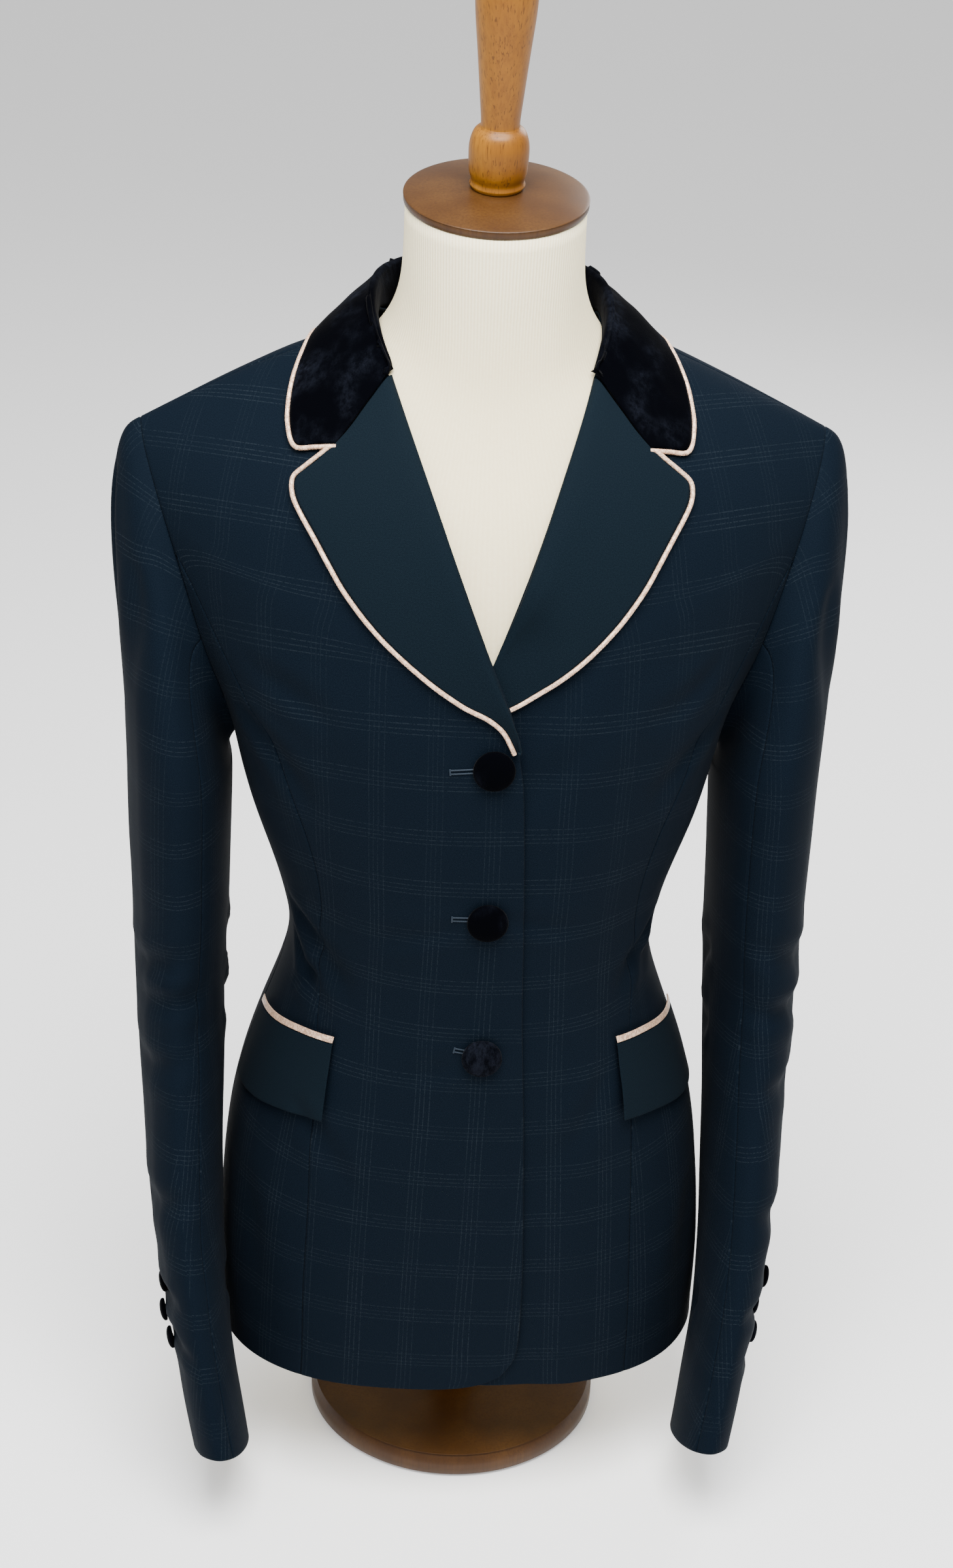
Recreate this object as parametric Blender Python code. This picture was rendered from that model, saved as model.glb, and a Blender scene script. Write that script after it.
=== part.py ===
"""Equestrian show coat on its limbless dress form.

Metres, +Z up, floor at z = 0. The coat faces -Y and the wearer's left is +X.
Heights in the tables are above the coat's hem. Widths are from the centre line, for one half of the body.
"""

import math

import bmesh
import bpy
import numpy as np
from mathutils import Matrix, Vector
from mathutils.bvhtree import BVHTree

# Driving dimensions
HEM_ABOVE_FLOOR = 0.090
CLOTH = 0.0016
VELVET = 0.0018
SEAM_GAP = 0.0004
LAYER_STEP = 0.0034
LAPEL_STEP = 0.0065
# Where the left front sinks under the right one
LEAST_LAP = 0.014
LAP_MARGIN = 0.004
LAP_SLOPE = 0.030
LAP_TOP = 0.525
LAP_FADE = 0.040
LAPEL_STEP_FOOT = 0.425
LAPEL_STEP_RISE = 0.030
SHOULDER_STATION = 15
FRONT_ARMPIT = 9
BACK_ARMPIT = 21
NECK_X = 0.066
PIPING_RADIUS = 0.00135
PIPING_GAP = 0.0004
POCKET_STRIP = 0.0046
FRONT_BUTTON = 0.0125
CUFF_BUTTON = 0.0075
NECK_CAP_RADIUS = 0.0538
NECK_TILT = math.radians(10.6)
NECK_TOP = Vector((0.000, -0.004, 0.760))
POST_RADIUS = 0.014
BASE_RADIUS = 0.100
BASE_THICK = 0.018

# Rings from the hem to the armpit: height, half width, depth in front, depth behind
SKIRT_AND_WAIST = (
    (0.000, 0.1640, 0.120, 0.126),
    (0.055, 0.1635, 0.121, 0.124),
    (0.110, 0.1605, 0.122, 0.119),
    (0.160, 0.1545, 0.122, 0.110),
    (0.205, 0.1430, 0.122, 0.099),
    (0.250, 0.1275, 0.121, 0.089),
    (0.292, 0.1172, 0.121, 0.085),
    (0.340, 0.1262, 0.123, 0.090),
    (0.385, 0.1410, 0.125, 0.097),
    (0.425, 0.1510, 0.126, 0.103),
)
# Stations over the chest: centre y, centre height, armhole x, y and height, wrap in degrees
CHEST = (
    (-0.1245, 0.475, 0.158, -0.030, 0.462, 78),
    (-0.1170, 0.525, 0.170, -0.040, 0.500, 66),
    (-0.1030, 0.573, 0.182, -0.037, 0.540, 54),
    (-0.0800, 0.617, 0.195, -0.024, 0.580, 44),
    (-0.0430, 0.662, 0.205, -0.004, 0.610, 36),
)
SHOULDER = ((0.0100, 0.708, 0.208, 0.012, 0.624, 30),)
# Stations down the shoulder blades, the same columns
BLADES = (
    (0.0560, 0.690, 0.206, 0.028, 0.612, 36),
    (0.0850, 0.655, 0.200, 0.045, 0.585, 44),
    (0.1000, 0.605, 0.190, 0.057, 0.550, 54),
    (0.1070, 0.550, 0.177, 0.058, 0.508, 66),
    (0.1070, 0.488, 0.163, 0.038, 0.463, 78),
)
# How square the rings are, at the hem and from the waist up
HEM_FULLNESS = 2.60
FULLNESS = 2.25
WAIST_STATION = 6
EDGE_DROP = 1.3

# Princess seams: height, distance from the centre line
FRONT_PRINCESS = (
    (0.000, 0.1085), (0.080, 0.1070), (0.130, 0.1050), (0.195, 0.1025), (0.270, 0.0990),
    (0.338, 0.0980), (0.368, 0.1000), (0.396, 0.1085), (0.446, 0.1280), (0.500, 0.1570),
)
BACK_PRINCESS = (
    (0.000, 0.080), (0.100, 0.074), (0.200, 0.064), (0.290, 0.058),
    (0.340, 0.062), (0.400, 0.078), (0.450, 0.106), (0.497, 0.148),
)
FRONT_PRINCESS_TOP = 12.4
BACK_PRINCESS_TOP = 18.4

# Rows up the seams, as heights
SEAM_ROWS = (
    0.0, 0.012, 0.036, 0.080, 0.130, 0.180, 0.230, 0.280, 0.320, 0.355, 0.390, 0.420, 0.455,
    0.497,
)
SIDE_ROWS = (
    0.0, 0.012, 0.036, 0.080, 0.130, 0.180, 0.230, 0.280, 0.315, 0.340, 0.362, 0.380, 0.396,
    0.412,
)
EDGE_ROWS = (
    0.010, 0.0235, 0.045, 0.085, 0.130, 0.180, 0.230, 0.280, 0.320, 0.355, 0.390, 0.420,
    0.445, 0.463, 0.487, 0.512, 0.545, 0.585, 0.625, 0.663,
)
ARMHOLE_STEPS = 6
UNDERARM_STEPS = 5
FRONT_COLUMNS = 7
SIDE_COLUMNS = 5
BACK_COLUMNS = 11
# Share of the back panel's rows, from the hem, that keep even columns
BACK_TOP_FADE = 0.5
NECKLINE_STEPS = 4

# Front edge and roll line: height, distance past the centre line (below zero it laps over)
FRONT_EDGE = (
    (0.0100, -0.0227), (0.0235, -0.0317), (0.0450, -0.0345), (0.0850, -0.0348),
    (0.1330, -0.0334), (0.2100, -0.0305), (0.2700, -0.0272), (0.3670, -0.0240),
    (0.4400, -0.0207), (0.4630, -0.0170),
)
ROLL_LINE = (
    (0.463, -0.0170), (0.481, -0.0139), (0.517, 0.0000), (0.5565, 0.0160),
    (0.610, 0.0365), (0.663, 0.0588),
)
BREAK = 0.463
# Hem of the front from its rounded corner to the princess seam: distance from the centre line, height
FRONT_HEM = (
    (-0.0227, 0.0100), (-0.0100, 0.0040), (0.0060, 0.0010), (0.0230, 0.0000), (0.0440, 0.0000),
    (0.0650, 0.0000), (0.0870, 0.0000), (0.1085, 0.0000),
)
# Lapel edge from its lower end round the tip to the notch: distance from the centre line, height
LAPEL_EDGE = (
    (-0.0170, 0.4630), (-0.0050, 0.4840), (0.0170, 0.4965), (0.0390, 0.5115), (0.0640, 0.5325),
    (0.0840, 0.5550), (0.0990, 0.5780), (0.1120, 0.5975), (0.1143, 0.6050), (0.1128, 0.6105),
    (0.0905, 0.6280),
)
# Shares of both lines at which the lapel's rows lie, closer together at its two ends
LAPEL_ROWS = (
    0.020, 0.050, 0.090, 0.140, 0.200, 0.260, 0.320, 0.380, 0.440, 0.500, 0.560, 0.620,
    0.680, 0.740, 0.790, 0.825, 0.850, 0.875, 0.910, 0.965, 1.000,
)
# How far across the lapel a column lies, and how high its face stands over the front
LAPEL_ROLL = (
    (0.00, 0.0026), (0.05, 0.0048), (0.15, 0.0054), (0.32, 0.0048), (0.55, 0.0040),
    (0.80, 0.0033), (1.00, 0.0030),
)

# Pocket flap: share of the way round to the side seam and height of its top and bottom edge
FLAP_TOP = ((0.460, 0.2515), (0.620, 0.2470), (0.800, 0.2395), (0.965, 0.2330))
FLAP_BOTTOM = ((0.404, 0.2010), (0.560, 0.1965), (0.720, 0.1900), (0.945, 0.1830))
FLAP_STAND = 0.0045
FLAP_GAP = 0.0009

BUTTON_HEIGHTS = (0.4555, 0.3540, 0.2575)
BUTTON_LINE = 0.002
# Cuff buttons, as shares of the way down the sleeve, and the column of the sleeve's grid they sit on
CUFF_BUTTONS = (0.705, 0.760, 0.816)
CUFF_COLUMN = 2

# Sleeve rings from the upper arm to the cuff:
# height, centre x, centre y, half thickness, half depth, forward tilt in degrees
SLEEVE = (
    (0.405, 0.1865, 0.004, 0.0330, 0.0760, 0),
    (0.330, 0.1870, 0.002, 0.0315, 0.0725, 0),
    (0.2435, 0.1875, -0.006, 0.0290, 0.0670, 4),
    (0.185, 0.1870, -0.022, 0.0268, 0.0630, 9),
    (0.130, 0.1850, -0.042, 0.0247, 0.0600, 14),
    (0.085, 0.1815, -0.061, 0.0222, 0.0575, 18),
    (0.044, 0.1770, -0.077, 0.0200, 0.0555, 21),
    (0.004, 0.1705, -0.093, 0.0190, 0.0540, 23),
    (-0.046, 0.1605, -0.112, 0.0182, 0.0530, 25),
)
SLEEVE_LEAN = 0.010
CAP_REACH = 0.030
CAP_SHARE = 0.28
CAP_ROWS = 5
SLEEVE_ROWS = 13
FRONT_SLEEVE_SEAM = 8
BACK_SLEEVE_SEAM = 16
# Soft breaks in the sleeve: height, angle round the sleeve from its outer side in degrees, depth, spread
SLEEVE_BREAKS = (
    (0.250, 120, 0.0035, 0.028),
    (0.185, 60, 0.0025, 0.024),
    (0.095, 110, 0.0030, 0.022),
    (0.020, 40, 0.0020, 0.020),
)

# Collar, from the notch to the centre back
COLLAR_ROLL = (
    (0.0585, -0.0345, 0.6660), (0.0665, -0.0200, 0.6850), (0.0705, -0.0020, 0.6985),
    (0.0695, 0.0200, 0.7070), (0.0620, 0.0440, 0.7110), (0.0470, 0.0640, 0.7120),
    (0.0250, 0.0770, 0.7120), (0.0000, 0.0810, 0.7120),
)
# Outer edge of the fall: distance from the centre line, station
COLLAR_EDGE = (
    (0.1134, 13.68), (0.1164, 13.86), (0.1172, 14.12), (0.1140, 14.50), (0.1050, 15.00),
    (0.0890, 16.05), (0.0620, 16.85), (0.0320, 17.10), (0.0000, 17.15),
)
# Neck seam of the stand: distance from the centre line, station
NECK_SEAM = (
    (0.0600, 14.22), (0.0640, 14.55), (0.0660, 15.0), (0.0620, 15.42), (0.0500, 15.80),
    (0.0280, 16.10), (0.0000, 16.20),
)
COLLAR_COLUMNS = 15
CORNER_COLUMNS = 2
COLLAR_FOLD = 0.0032
COLLAR_LIFT = 0.0032
FOLD_ANGLES = (180, 130, 90, 50, 0)
FALL_SHARES = (0.33, 0.66, 1.0)
FALL_BULGE = 0.0012
# The collar's end at the gorge: share of the way from the roll line to the notch, height over the front
COLLAR_END = (
    (-0.10, 0.0024), (-0.06, 0.0030), (-0.03, 0.0038), (0.00, 0.0046), (0.03, 0.0051),
    (0.08, 0.0054), (0.16, 0.0054), (0.42, 0.0046), (0.72, 0.0036), (1.00, 0.0030),
)
# How far from the notch the piping starts, as a share of the collar's first column
NOTCH_SHARE = 0.38

# Torso rings: height, half width, depth in front, depth behind
TORSO = (
    (0.016, 0.152, 0.104, 0.110), (0.060, 0.155, 0.107, 0.111), (0.110, 0.152, 0.109, 0.107),
    (0.160, 0.143, 0.110, 0.099), (0.205, 0.130, 0.110, 0.088), (0.250, 0.115, 0.109, 0.078),
    (0.292, 0.106, 0.109, 0.074), (0.340, 0.114, 0.111, 0.079), (0.385, 0.128, 0.113, 0.086),
    (0.425, 0.139, 0.113, 0.092), (0.475, 0.150, 0.111, 0.095), (0.525, 0.163, 0.102, 0.096),
    (0.565, 0.176, 0.090, 0.094), (0.592, 0.184, 0.079, 0.090), (0.612, 0.184, 0.071, 0.086),
    (0.628, 0.176, 0.066, 0.082), (0.643, 0.150, 0.061, 0.078), (0.656, 0.120, 0.058, 0.072),
    (0.665, 0.094, 0.056, 0.065), (0.674, 0.070, 0.054, 0.059), (0.686, 0.0580, 0.0530, 0.0555),
    (0.701, 0.0545, 0.0525, 0.0540),
)
NECK_RADIUS = 0.0530
NECK_RING_HEIGHT = 0.724
NECK_CLEARING = 0.0565
TORSO_SIDES = 40
TORSO_CLEARANCE = 0.0065
FRONT_CLEARANCE = 0.0110
FRONT_ZONE = (0.075, 0.600)
LEAST_TORSO_SHARE = 0.3


def clear_scene():
    for obj in list(bpy.data.objects):
        bpy.data.objects.remove(obj, do_unlink=True)


def finish(name, colour, roughness, metallic=0.0):
    material = bpy.data.materials.new(name)
    material.use_nodes = True
    shader = material.node_tree.nodes["Principled BSDF"]
    shader.inputs["Base Color"].default_value = (*colour, 1.0)
    shader.inputs["Roughness"].default_value = roughness
    shader.inputs["Metallic"].default_value = metallic
    return material


def spline(values, t, corners=()):
    """A smooth curve through numbers or points, with a corner allowed at some of them."""
    last = len(values) - 1
    t = min(max(t, 0.0), float(last))
    k = min(int(t), last - 1)
    f = t - k
    here, there = values[k], values[k + 1]
    leave = there - here
    arrive = there - here
    if k > 0 and k not in corners:
        leave = (there - values[k - 1]) / 2
    if k + 1 < last and k + 1 not in corners:
        arrive = (values[k + 2] - here) / 2
    return (
        (2 * f**3 - 3 * f**2 + 1) * here
        + (f**3 - 2 * f**2 + f) * leave
        + (3 * f**2 - 2 * f**3) * there
        + (f**3 - f**2) * arrive
    )


def between(table, at, columns=1):
    """Reads a table whose first column rises, as a smooth curve of the other column."""
    keys = [row[0] for row in table]
    values = [row[columns] for row in table]
    if at <= keys[0]:
        return values[0]
    for k in range(len(keys) - 1):
        if at <= keys[k + 1]:
            return float(spline(values, k + (at - keys[k]) / (keys[k + 1] - keys[k])))
    return values[-1]


def ease(t):
    t = min(max(t, 0.0), 1.0)
    return t * t * (3 - 2 * t)


def stations():
    """The station table, from the front hem over the shoulder to the back hem, one array a column."""
    rows = [(-front, high, wide, 0.0, high, 90) for high, wide, front, _ in SKIRT_AND_WAIST]
    rows += CHEST + SHOULDER + BLADES
    rows += [(back, high, wide, 0.0, high, 90) for high, wide, _, back in reversed(SKIRT_AND_WAIST)]
    return np.array(rows, float).T


STATION = stations()
ARMPITS = (FRONT_ARMPIT, BACK_ARMPIT)


def fullness(v):
    from_hem = min(v, len(STATION[0]) - 1 - v)
    return FULLNESS + (HEM_FULLNESS - FULLNESS) * (1 - ease(from_hem / WAIST_STATION))


def on_coat(s, v):
    """A point of the coat's outer face. s is 0 at the centre line and 1 at the side or armhole."""
    centre_y = spline(STATION[0], v)
    centre_z = spline(STATION[1], v)
    edge_x, edge_y, edge_z, wrap = (spline(column, v, ARMPITS) for column in STATION[2:])
    reach = math.radians(wrap)
    power = 2 / fullness(v)
    turn = min(abs(s), 1.0) * reach
    side = (math.sin(turn) / math.sin(reach)) ** power
    flat = max(math.cos(reach), 0.0) ** power
    deep = (max(math.cos(turn), 0.0) ** power - flat) / (1 - flat)
    return np.array(
        (
            math.copysign(edge_x * side, s),
            edge_y + (centre_y - edge_y) * deep,
            centre_z + (edge_z - centre_z) * side**EDGE_DROP,
        )
    )


def outward(s, v):
    """The unit normal of the outer face."""
    step = 0.01
    last = len(STATION[0]) - 1
    low_s, high_s = max(s - step, -1.0), min(s + step, 1.0)
    low_v, high_v = max(v - step, 0.0), min(v + step, float(last))
    across = on_coat(high_s, v) - on_coat(low_s, v)
    along = on_coat(s, high_v) - on_coat(s, low_v)
    normal = np.cross(across, along)
    return normal / np.linalg.norm(normal)


def raised(s, v, height):
    return on_coat(s, v) + outward(s, v) * height


def front_place(x, height):
    """The place (s, v) on the front that lies x from the centre line, this high over the hem."""
    s, v = x / 0.17, 14.0 * height / 0.66
    step = 1e-4
    for _ in range(40):
        here = on_coat(s, v)
        by_s = (on_coat(s + step, v) - here)[[0, 2]] / step
        by_v = (on_coat(s, v + step) - here)[[0, 2]] / step
        move = np.linalg.solve(np.column_stack((by_s, by_v)), np.array((x, height)) - here[[0, 2]])
        s = min(max(s + np.clip(move[0], -0.2, 0.2), -0.999), 0.999)
        v = min(max(v + np.clip(move[1], -1.0, 1.0), 0.0), SHOULDER_STATION - 0.001)
    return s, v


def place_at(x, v):
    """The place (s, v) on a station that lies x from the centre line."""
    low, high = 0.0, 1.0
    for _ in range(40):
        middle = (low + high) / 2
        if on_coat(middle, v)[0] < x:
            low = middle
        else:
            high = middle
    return (low + high) / 2, v


def place_on(s, height):
    """The place on the front at this s, this high over the hem."""
    low, high = 0.0, float(SHOULDER_STATION)
    for _ in range(40):
        middle = (low + high) / 2
        if on_coat(s, middle)[2] < height:
            low = middle
        else:
            high = middle
    return s, (low + high) / 2


def station_at(height, behind):
    """The station whose side seam lies this high."""
    top = SKIRT_AND_WAIST[-1][0]
    low, high = 0.0, float(FRONT_ARMPIT)
    for _ in range(40):
        middle = (low + high) / 2
        if spline(STATION[4], middle, ARMPITS) < min(height, top):
            low = middle
        else:
            high = middle
    v = (low + high) / 2
    return len(STATION[0]) - 1 - v if behind else v


def grid_between(inner, outer, bottom, top, late=0.0):
    """Places inside four edges, each a list of (s, v), rows from the bottom up.

    The uneven steps of the top edge fade out downwards. With late they are gone below that share of the rows.
    """
    inner, outer, bottom, top = (np.array(edge, float) for edge in (inner, outer, bottom, top))
    rows, columns = len(inner), len(bottom)
    up = np.linspace(0, 1, rows)
    if late:
        up = np.array([ease((share - late) / (1 - late)) for share in up])
    up = up[:, None, None]
    out = np.linspace(0, 1, columns)[None, :, None]
    sides = (1 - out) * inner[:, None] + out * outer[:, None]
    ends = (1 - up) * bottom[None] + up * top[None]
    corners = (1 - up) * ((1 - out) * inner[0] + out * outer[0]) + up * (
        (1 - out) * inner[-1] + out * outer[-1]
    )
    return sides + ends - corners


def line(start, end, steps):
    return [tuple(np.array(start) + (np.array(end) - np.array(start)) * k / steps) for k in range(steps + 1)]


def draw_in(face, gap):
    """Moves each border of a grid of points inwards by half a seam's gap."""
    face = np.array(face)
    pulled = face.copy()
    for edge, inside in ((0, 1), (-1, -2)):
        step = face[inside] - face[edge]
        pulled[edge] += step / np.linalg.norm(step, axis=1, keepdims=True) * gap / 2
        step = face[:, inside] - face[:, edge]
        pulled[:, edge] += step / np.linalg.norm(step, axis=1, keepdims=True) * gap / 2
    return pulled


def grid_normals(face):
    """Unit normals of a grid of points, from the differences along its rows and columns."""
    across = np.gradient(face, axis=1)
    along = np.gradient(face, axis=0)
    normal = np.cross(across, along)
    return normal / np.linalg.norm(normal, axis=2, keepdims=True)


def add_piece(name, bm, material, side=1):
    if side < 0:
        bmesh.ops.scale(bm, vec=(-1, 1, 1), verts=bm.verts[:])
    bmesh.ops.translate(bm, vec=(0, 0, HEM_ABOVE_FLOOR), verts=bm.verts[:])
    bmesh.ops.recalc_face_normals(bm, faces=bm.faces[:])
    if bm.calc_volume(signed=True) < 0:
        bmesh.ops.reverse_faces(bm, faces=bm.faces[:])
    mesh = bpy.data.meshes.new(name)
    bm.to_mesh(mesh)
    bm.free()
    mesh.shade_smooth()
    mesh.set_sharp_from_angle(angle=math.radians(40))
    mesh.materials.append(material)
    obj = bpy.data.objects.new(name, mesh)
    bpy.context.scene.collection.objects.link(obj)
    return obj


def add_wall(name, outer, inner, material, side=1):
    """A closed cloth wall between two grids of points with the same rows and columns."""
    bm = bmesh.new()
    rows, columns = outer.shape[:2]
    skin = [[bm.verts.new(point) for point in row] for row in outer]
    back = [[bm.verts.new(point) for point in row] for row in inner]
    for i in range(rows - 1):
        for j in range(columns - 1):
            for face in (skin, back):
                bm.faces.new((face[i][j], face[i][j + 1], face[i + 1][j + 1], face[i + 1][j]))
    for i in range(rows - 1):
        for j in (0, columns - 1):
            bm.faces.new((skin[i][j], skin[i + 1][j], back[i + 1][j], back[i][j]))
    for j in range(columns - 1):
        for i in (0, rows - 1):
            bm.faces.new((skin[i][j], skin[i][j + 1], back[i][j + 1], back[i][j]))
    return add_piece(name, bm, material, side)


def add_turned(name, profile, material, sides, place=Matrix.Identity(4)):
    """A turned piece from (radius, height) points, whose first and last radius is 0."""
    bm = bmesh.new()
    points = [bm.verts.new((radius, 0.0, height)) for radius, height in profile]
    edges = [bm.edges.new(pair) for pair in zip(points, points[1:])]
    bmesh.ops.spin(
        bm, geom=points + edges, cent=(0, 0, 0), axis=(0, 0, 1), angle=2 * math.pi, steps=sides,
        use_merge=True, use_duplicate=False,
    )
    bmesh.ops.remove_doubles(bm, verts=bm.verts[:], dist=1e-6)
    bmesh.ops.transform(bm, matrix=place, verts=bm.verts[:])
    return add_piece(name, bm, material)


def add_piping(name, path, radius, material, side=1):
    """A round piping bead along a path, as a bevelled curve."""
    curve = bpy.data.curves.new(name, "CURVE")
    curve.dimensions = "3D"
    curve.bevel_depth = radius
    curve.bevel_resolution = 1
    curve.use_fill_caps = True
    run = curve.splines.new("POLY")
    run.points.add(len(path) - 1)
    for point, (x, y, z) in zip(run.points, path):
        point.co = (x * side, y, z + HEM_ABOVE_FLOOR, 1.0)
    curve.materials.append(material)
    obj = bpy.data.objects.new(name, curve)
    bpy.context.scene.collection.objects.link(obj)
    return obj


def front_edge(height):
    return between(FRONT_EDGE if height <= BREAK else ROLL_LINE, height)


def sunk(x, height, side):
    """How far the left front lies under the right one, near the centre."""
    if side < 0:
        return 0.0
    square_height = FRONT_EDGE[3][0]
    start = max(LEAST_LAP, -front_edge(max(height, square_height))) + LAP_MARGIN
    across = 1 - ease((x - start) / LAP_SLOPE)
    up = 1 - ease((height - LAP_TOP) / LAP_FADE)
    step = LAYER_STEP + (LAPEL_STEP - LAYER_STEP) * ease((height - LAPEL_STEP_FOOT) / LAPEL_STEP_RISE)
    return step * across * up


def panel_faces(places, side=1, wall=CLOTH):
    outer, inner = [], []
    for row in places:
        skin, back = [], []
        for s, v in row:
            point, normal = on_coat(s, v), outward(s, v)
            down = sunk(point[0], point[2], side) if v < SHOULDER_STATION else 0.0
            skin.append(point - normal * down)
            back.append(point - normal * (down + wall))
        outer.append(skin)
        inner.append(back)
    outer, inner = np.array(outer), np.array(inner)
    shift = draw_in(outer, SEAM_GAP) - outer
    return outer + shift, inner + shift


def seam_places():
    """The seams that panels share: both princess seams, the side seam and the armhole, as places."""
    front = [front_place(between(FRONT_PRINCESS, h), h) for h in SEAM_ROWS] + [(1.0, FRONT_PRINCESS_TOP)]
    back = []
    for h in SEAM_ROWS:
        v = len(STATION[0]) - 1 - 12.0 * h / 0.55
        for _ in range(30):
            s, v = place_at(between(BACK_PRINCESS, h), v)
            v += (on_coat(s, v)[2] - h) * 18
        back.append((s, v))
    back.append((1.0, BACK_PRINCESS_TOP))
    side_front = [(1.0, station_at(h, False)) for h in SIDE_ROWS] + [(1.0, float(FRONT_ARMPIT))]
    side_back = [(1.0, station_at(h, True)) for h in SIDE_ROWS] + [(1.0, float(BACK_ARMPIT))]
    return front, back, side_front, side_back


def armhole_loop():
    """Points round the armhole, from the shoulder tip down the front and up the back."""
    legs = (
        line((1, SHOULDER_STATION), (1, FRONT_PRINCESS_TOP), ARMHOLE_STEPS)[:-1]
        + line((1, FRONT_PRINCESS_TOP), (1, FRONT_ARMPIT), UNDERARM_STEPS)[:-1]
        + line((1, BACK_ARMPIT), (1, BACK_PRINCESS_TOP), UNDERARM_STEPS)[:-1]
        + line((1, BACK_PRINCESS_TOP), (1, SHOULDER_STATION), ARMHOLE_STEPS)
    )
    return np.array([on_coat(s, v) for s, v in legs])


def make_body_panels(wool):
    front, back, side_front, side_back = seam_places()
    neck = place_at(NECK_X, SHOULDER_STATION)
    edge = [front_place(front_edge(h), h) for h in EDGE_ROWS] + [neck]
    armhole = line(front[-1], (1, SHOULDER_STATION), ARMHOLE_STEPS)[1:]
    back_armhole = line(back[-1], (1, SHOULDER_STATION), ARMHOLE_STEPS)[1:]
    nape_station = NECK_SEAM[-1][1]
    neckline = [place_at(x, v) for x, v in reversed(NECK_SEAM) if v >= SHOULDER_STATION]
    hem = [front_place(x, h) for x, h in FRONT_HEM]
    centre_back = [(0.0, v) for v in np.interp(
        np.linspace(0, 1, len(front + armhole)),
        (0, 0.70, 1), (len(STATION[0]) - 1, 20.3, nape_station),
    )]
    back_top = resample(neckline, np.linspace(0, 1, NECKLINE_STEPS + 1)) + line(
        neck, (1, SHOULDER_STATION), BACK_COLUMNS - NECKLINE_STEPS
    )[1:]
    for side, hand in ((-1, "right"), (1, "left")):
        places = grid_between(
            edge, front + armhole, hem, line(neck, (1, SHOULDER_STATION), FRONT_COLUMNS),
        )
        add_wall(f"{hand}_front", *panel_faces(places, side), wool, side)
        places = grid_between(
            front, side_front, line(front[0], side_front[0], SIDE_COLUMNS),
            line(front[-1], side_front[-1], UNDERARM_STEPS),
        )
        add_wall(f"{hand}_side_front", *panel_faces(places), wool, side)
        places = grid_between(
            back, side_back, line(back[0], side_back[0], SIDE_COLUMNS),
            line(back[-1], side_back[-1], UNDERARM_STEPS),
        )
        add_wall(f"{hand}_side_back", *panel_faces(places), wool, side)
        places = grid_between(
            centre_back, back + back_armhole, line(centre_back[0], back[0], BACK_COLUMNS), back_top,
            BACK_TOP_FADE,
        )
        add_wall(f"{hand}_back", *panel_faces(places), wool, side)


def resample(points, shares):
    """Points at these shares of the length of a broken line."""
    points = np.array(points, float)
    run = np.concatenate(([0], np.cumsum(np.linalg.norm(np.diff(points, axis=0), axis=1))))
    at = np.array(shares) * run[-1]
    return [tuple(np.interp(a, run, points[:, k]) for k in range(points.shape[1])) for a in at]


def curve_points(table, shares):
    """Points at these shares of the length of a smooth curve through the rows of a table."""
    rows = [np.array(row, float) for row in table]
    fine = [spline(rows, t) for t in np.linspace(0, len(rows) - 1, 12 * (len(rows) - 1) + 1)]
    return np.array(resample(fine, shares))


def beside(edge, normals, inside, reach):
    """A path this far out from an edge, mitred at its corners."""
    ways = np.cross(np.diff(edge, axis=0), (normals[:-1] + normals[1:]) / 2)
    ways /= np.linalg.norm(ways, axis=1, keepdims=True)
    away = edge - inside
    ways *= np.sign(np.sum(ways * (away[:-1] + away[1:])))
    before = np.concatenate((ways[:1], ways))
    after = np.concatenate((ways, ways[-1:]))
    mitre = (before + after) / (1 + np.sum(before * after, axis=1, keepdims=True))
    return edge + mitre * reach


def lapel_lift(x, height, side):
    """Share of the roll's rise. The hidden end of the left lapel lies flat."""
    if side < 0:
        return 1.0
    return max(ease((x - 0.012) / 0.03), ease((height - 0.515) / 0.04))


def lapel_frame(side):
    """The lapel's places and face heights, rows from the break up to the gorge."""
    roll = curve_points([(x, h) for h, x in ROLL_LINE], LAPEL_ROWS)
    edge = curve_points(LAPEL_EDGE, LAPEL_ROWS)
    rows = []
    for (x0, h0), (x1, h1) in zip(roll, edge):
        row = []
        for across, stand in LAPEL_ROLL:
            x = x0 + (x1 - x0) * across
            height = h0 + (h1 - h0) * across
            rest = LAPEL_ROLL[-1][1]
            share = lapel_lift(x, height, side) if across > 0 else 1.0
            row.append((*front_place(x, height), rest + (stand - rest) * share - sunk(x, height, side)))
        rows.append(row)
    return rows


def make_lapels(wool, leather):
    for side, hand in ((-1, "right"), (1, "left")):
        rows = lapel_frame(side)
        outer = np.array([[raised(s, v, h) for s, v, h in row] for row in rows])
        inner = np.array([[raised(s, v, h - CLOTH) for s, v, h in row] for row in rows])
        middle = (outer + inner) / 2
        normal = np.array([outward(*row[-1][:2]) for row in rows])
        lift = np.array([lapel_lift(point[0], point[2], side) for point in middle[:, -1]])
        step = outer[-2] - outer[-1]
        step *= SEAM_GAP / 2 / np.linalg.norm(step, axis=1, keepdims=True)
        outer[-1] += step
        inner[-1] += step
        add_wall(f"{hand}_lapel", outer, inner, wool, side)
        path = beside(middle[:, -1], normal, middle[:, -2], PIPING_GAP + PIPING_RADIUS)
        path += normal * 0.0006 * lift[:, None]
        add_piping(f"{hand}_lapel_piping", path[:-1], PIPING_RADIUS, leather, side)


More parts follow.
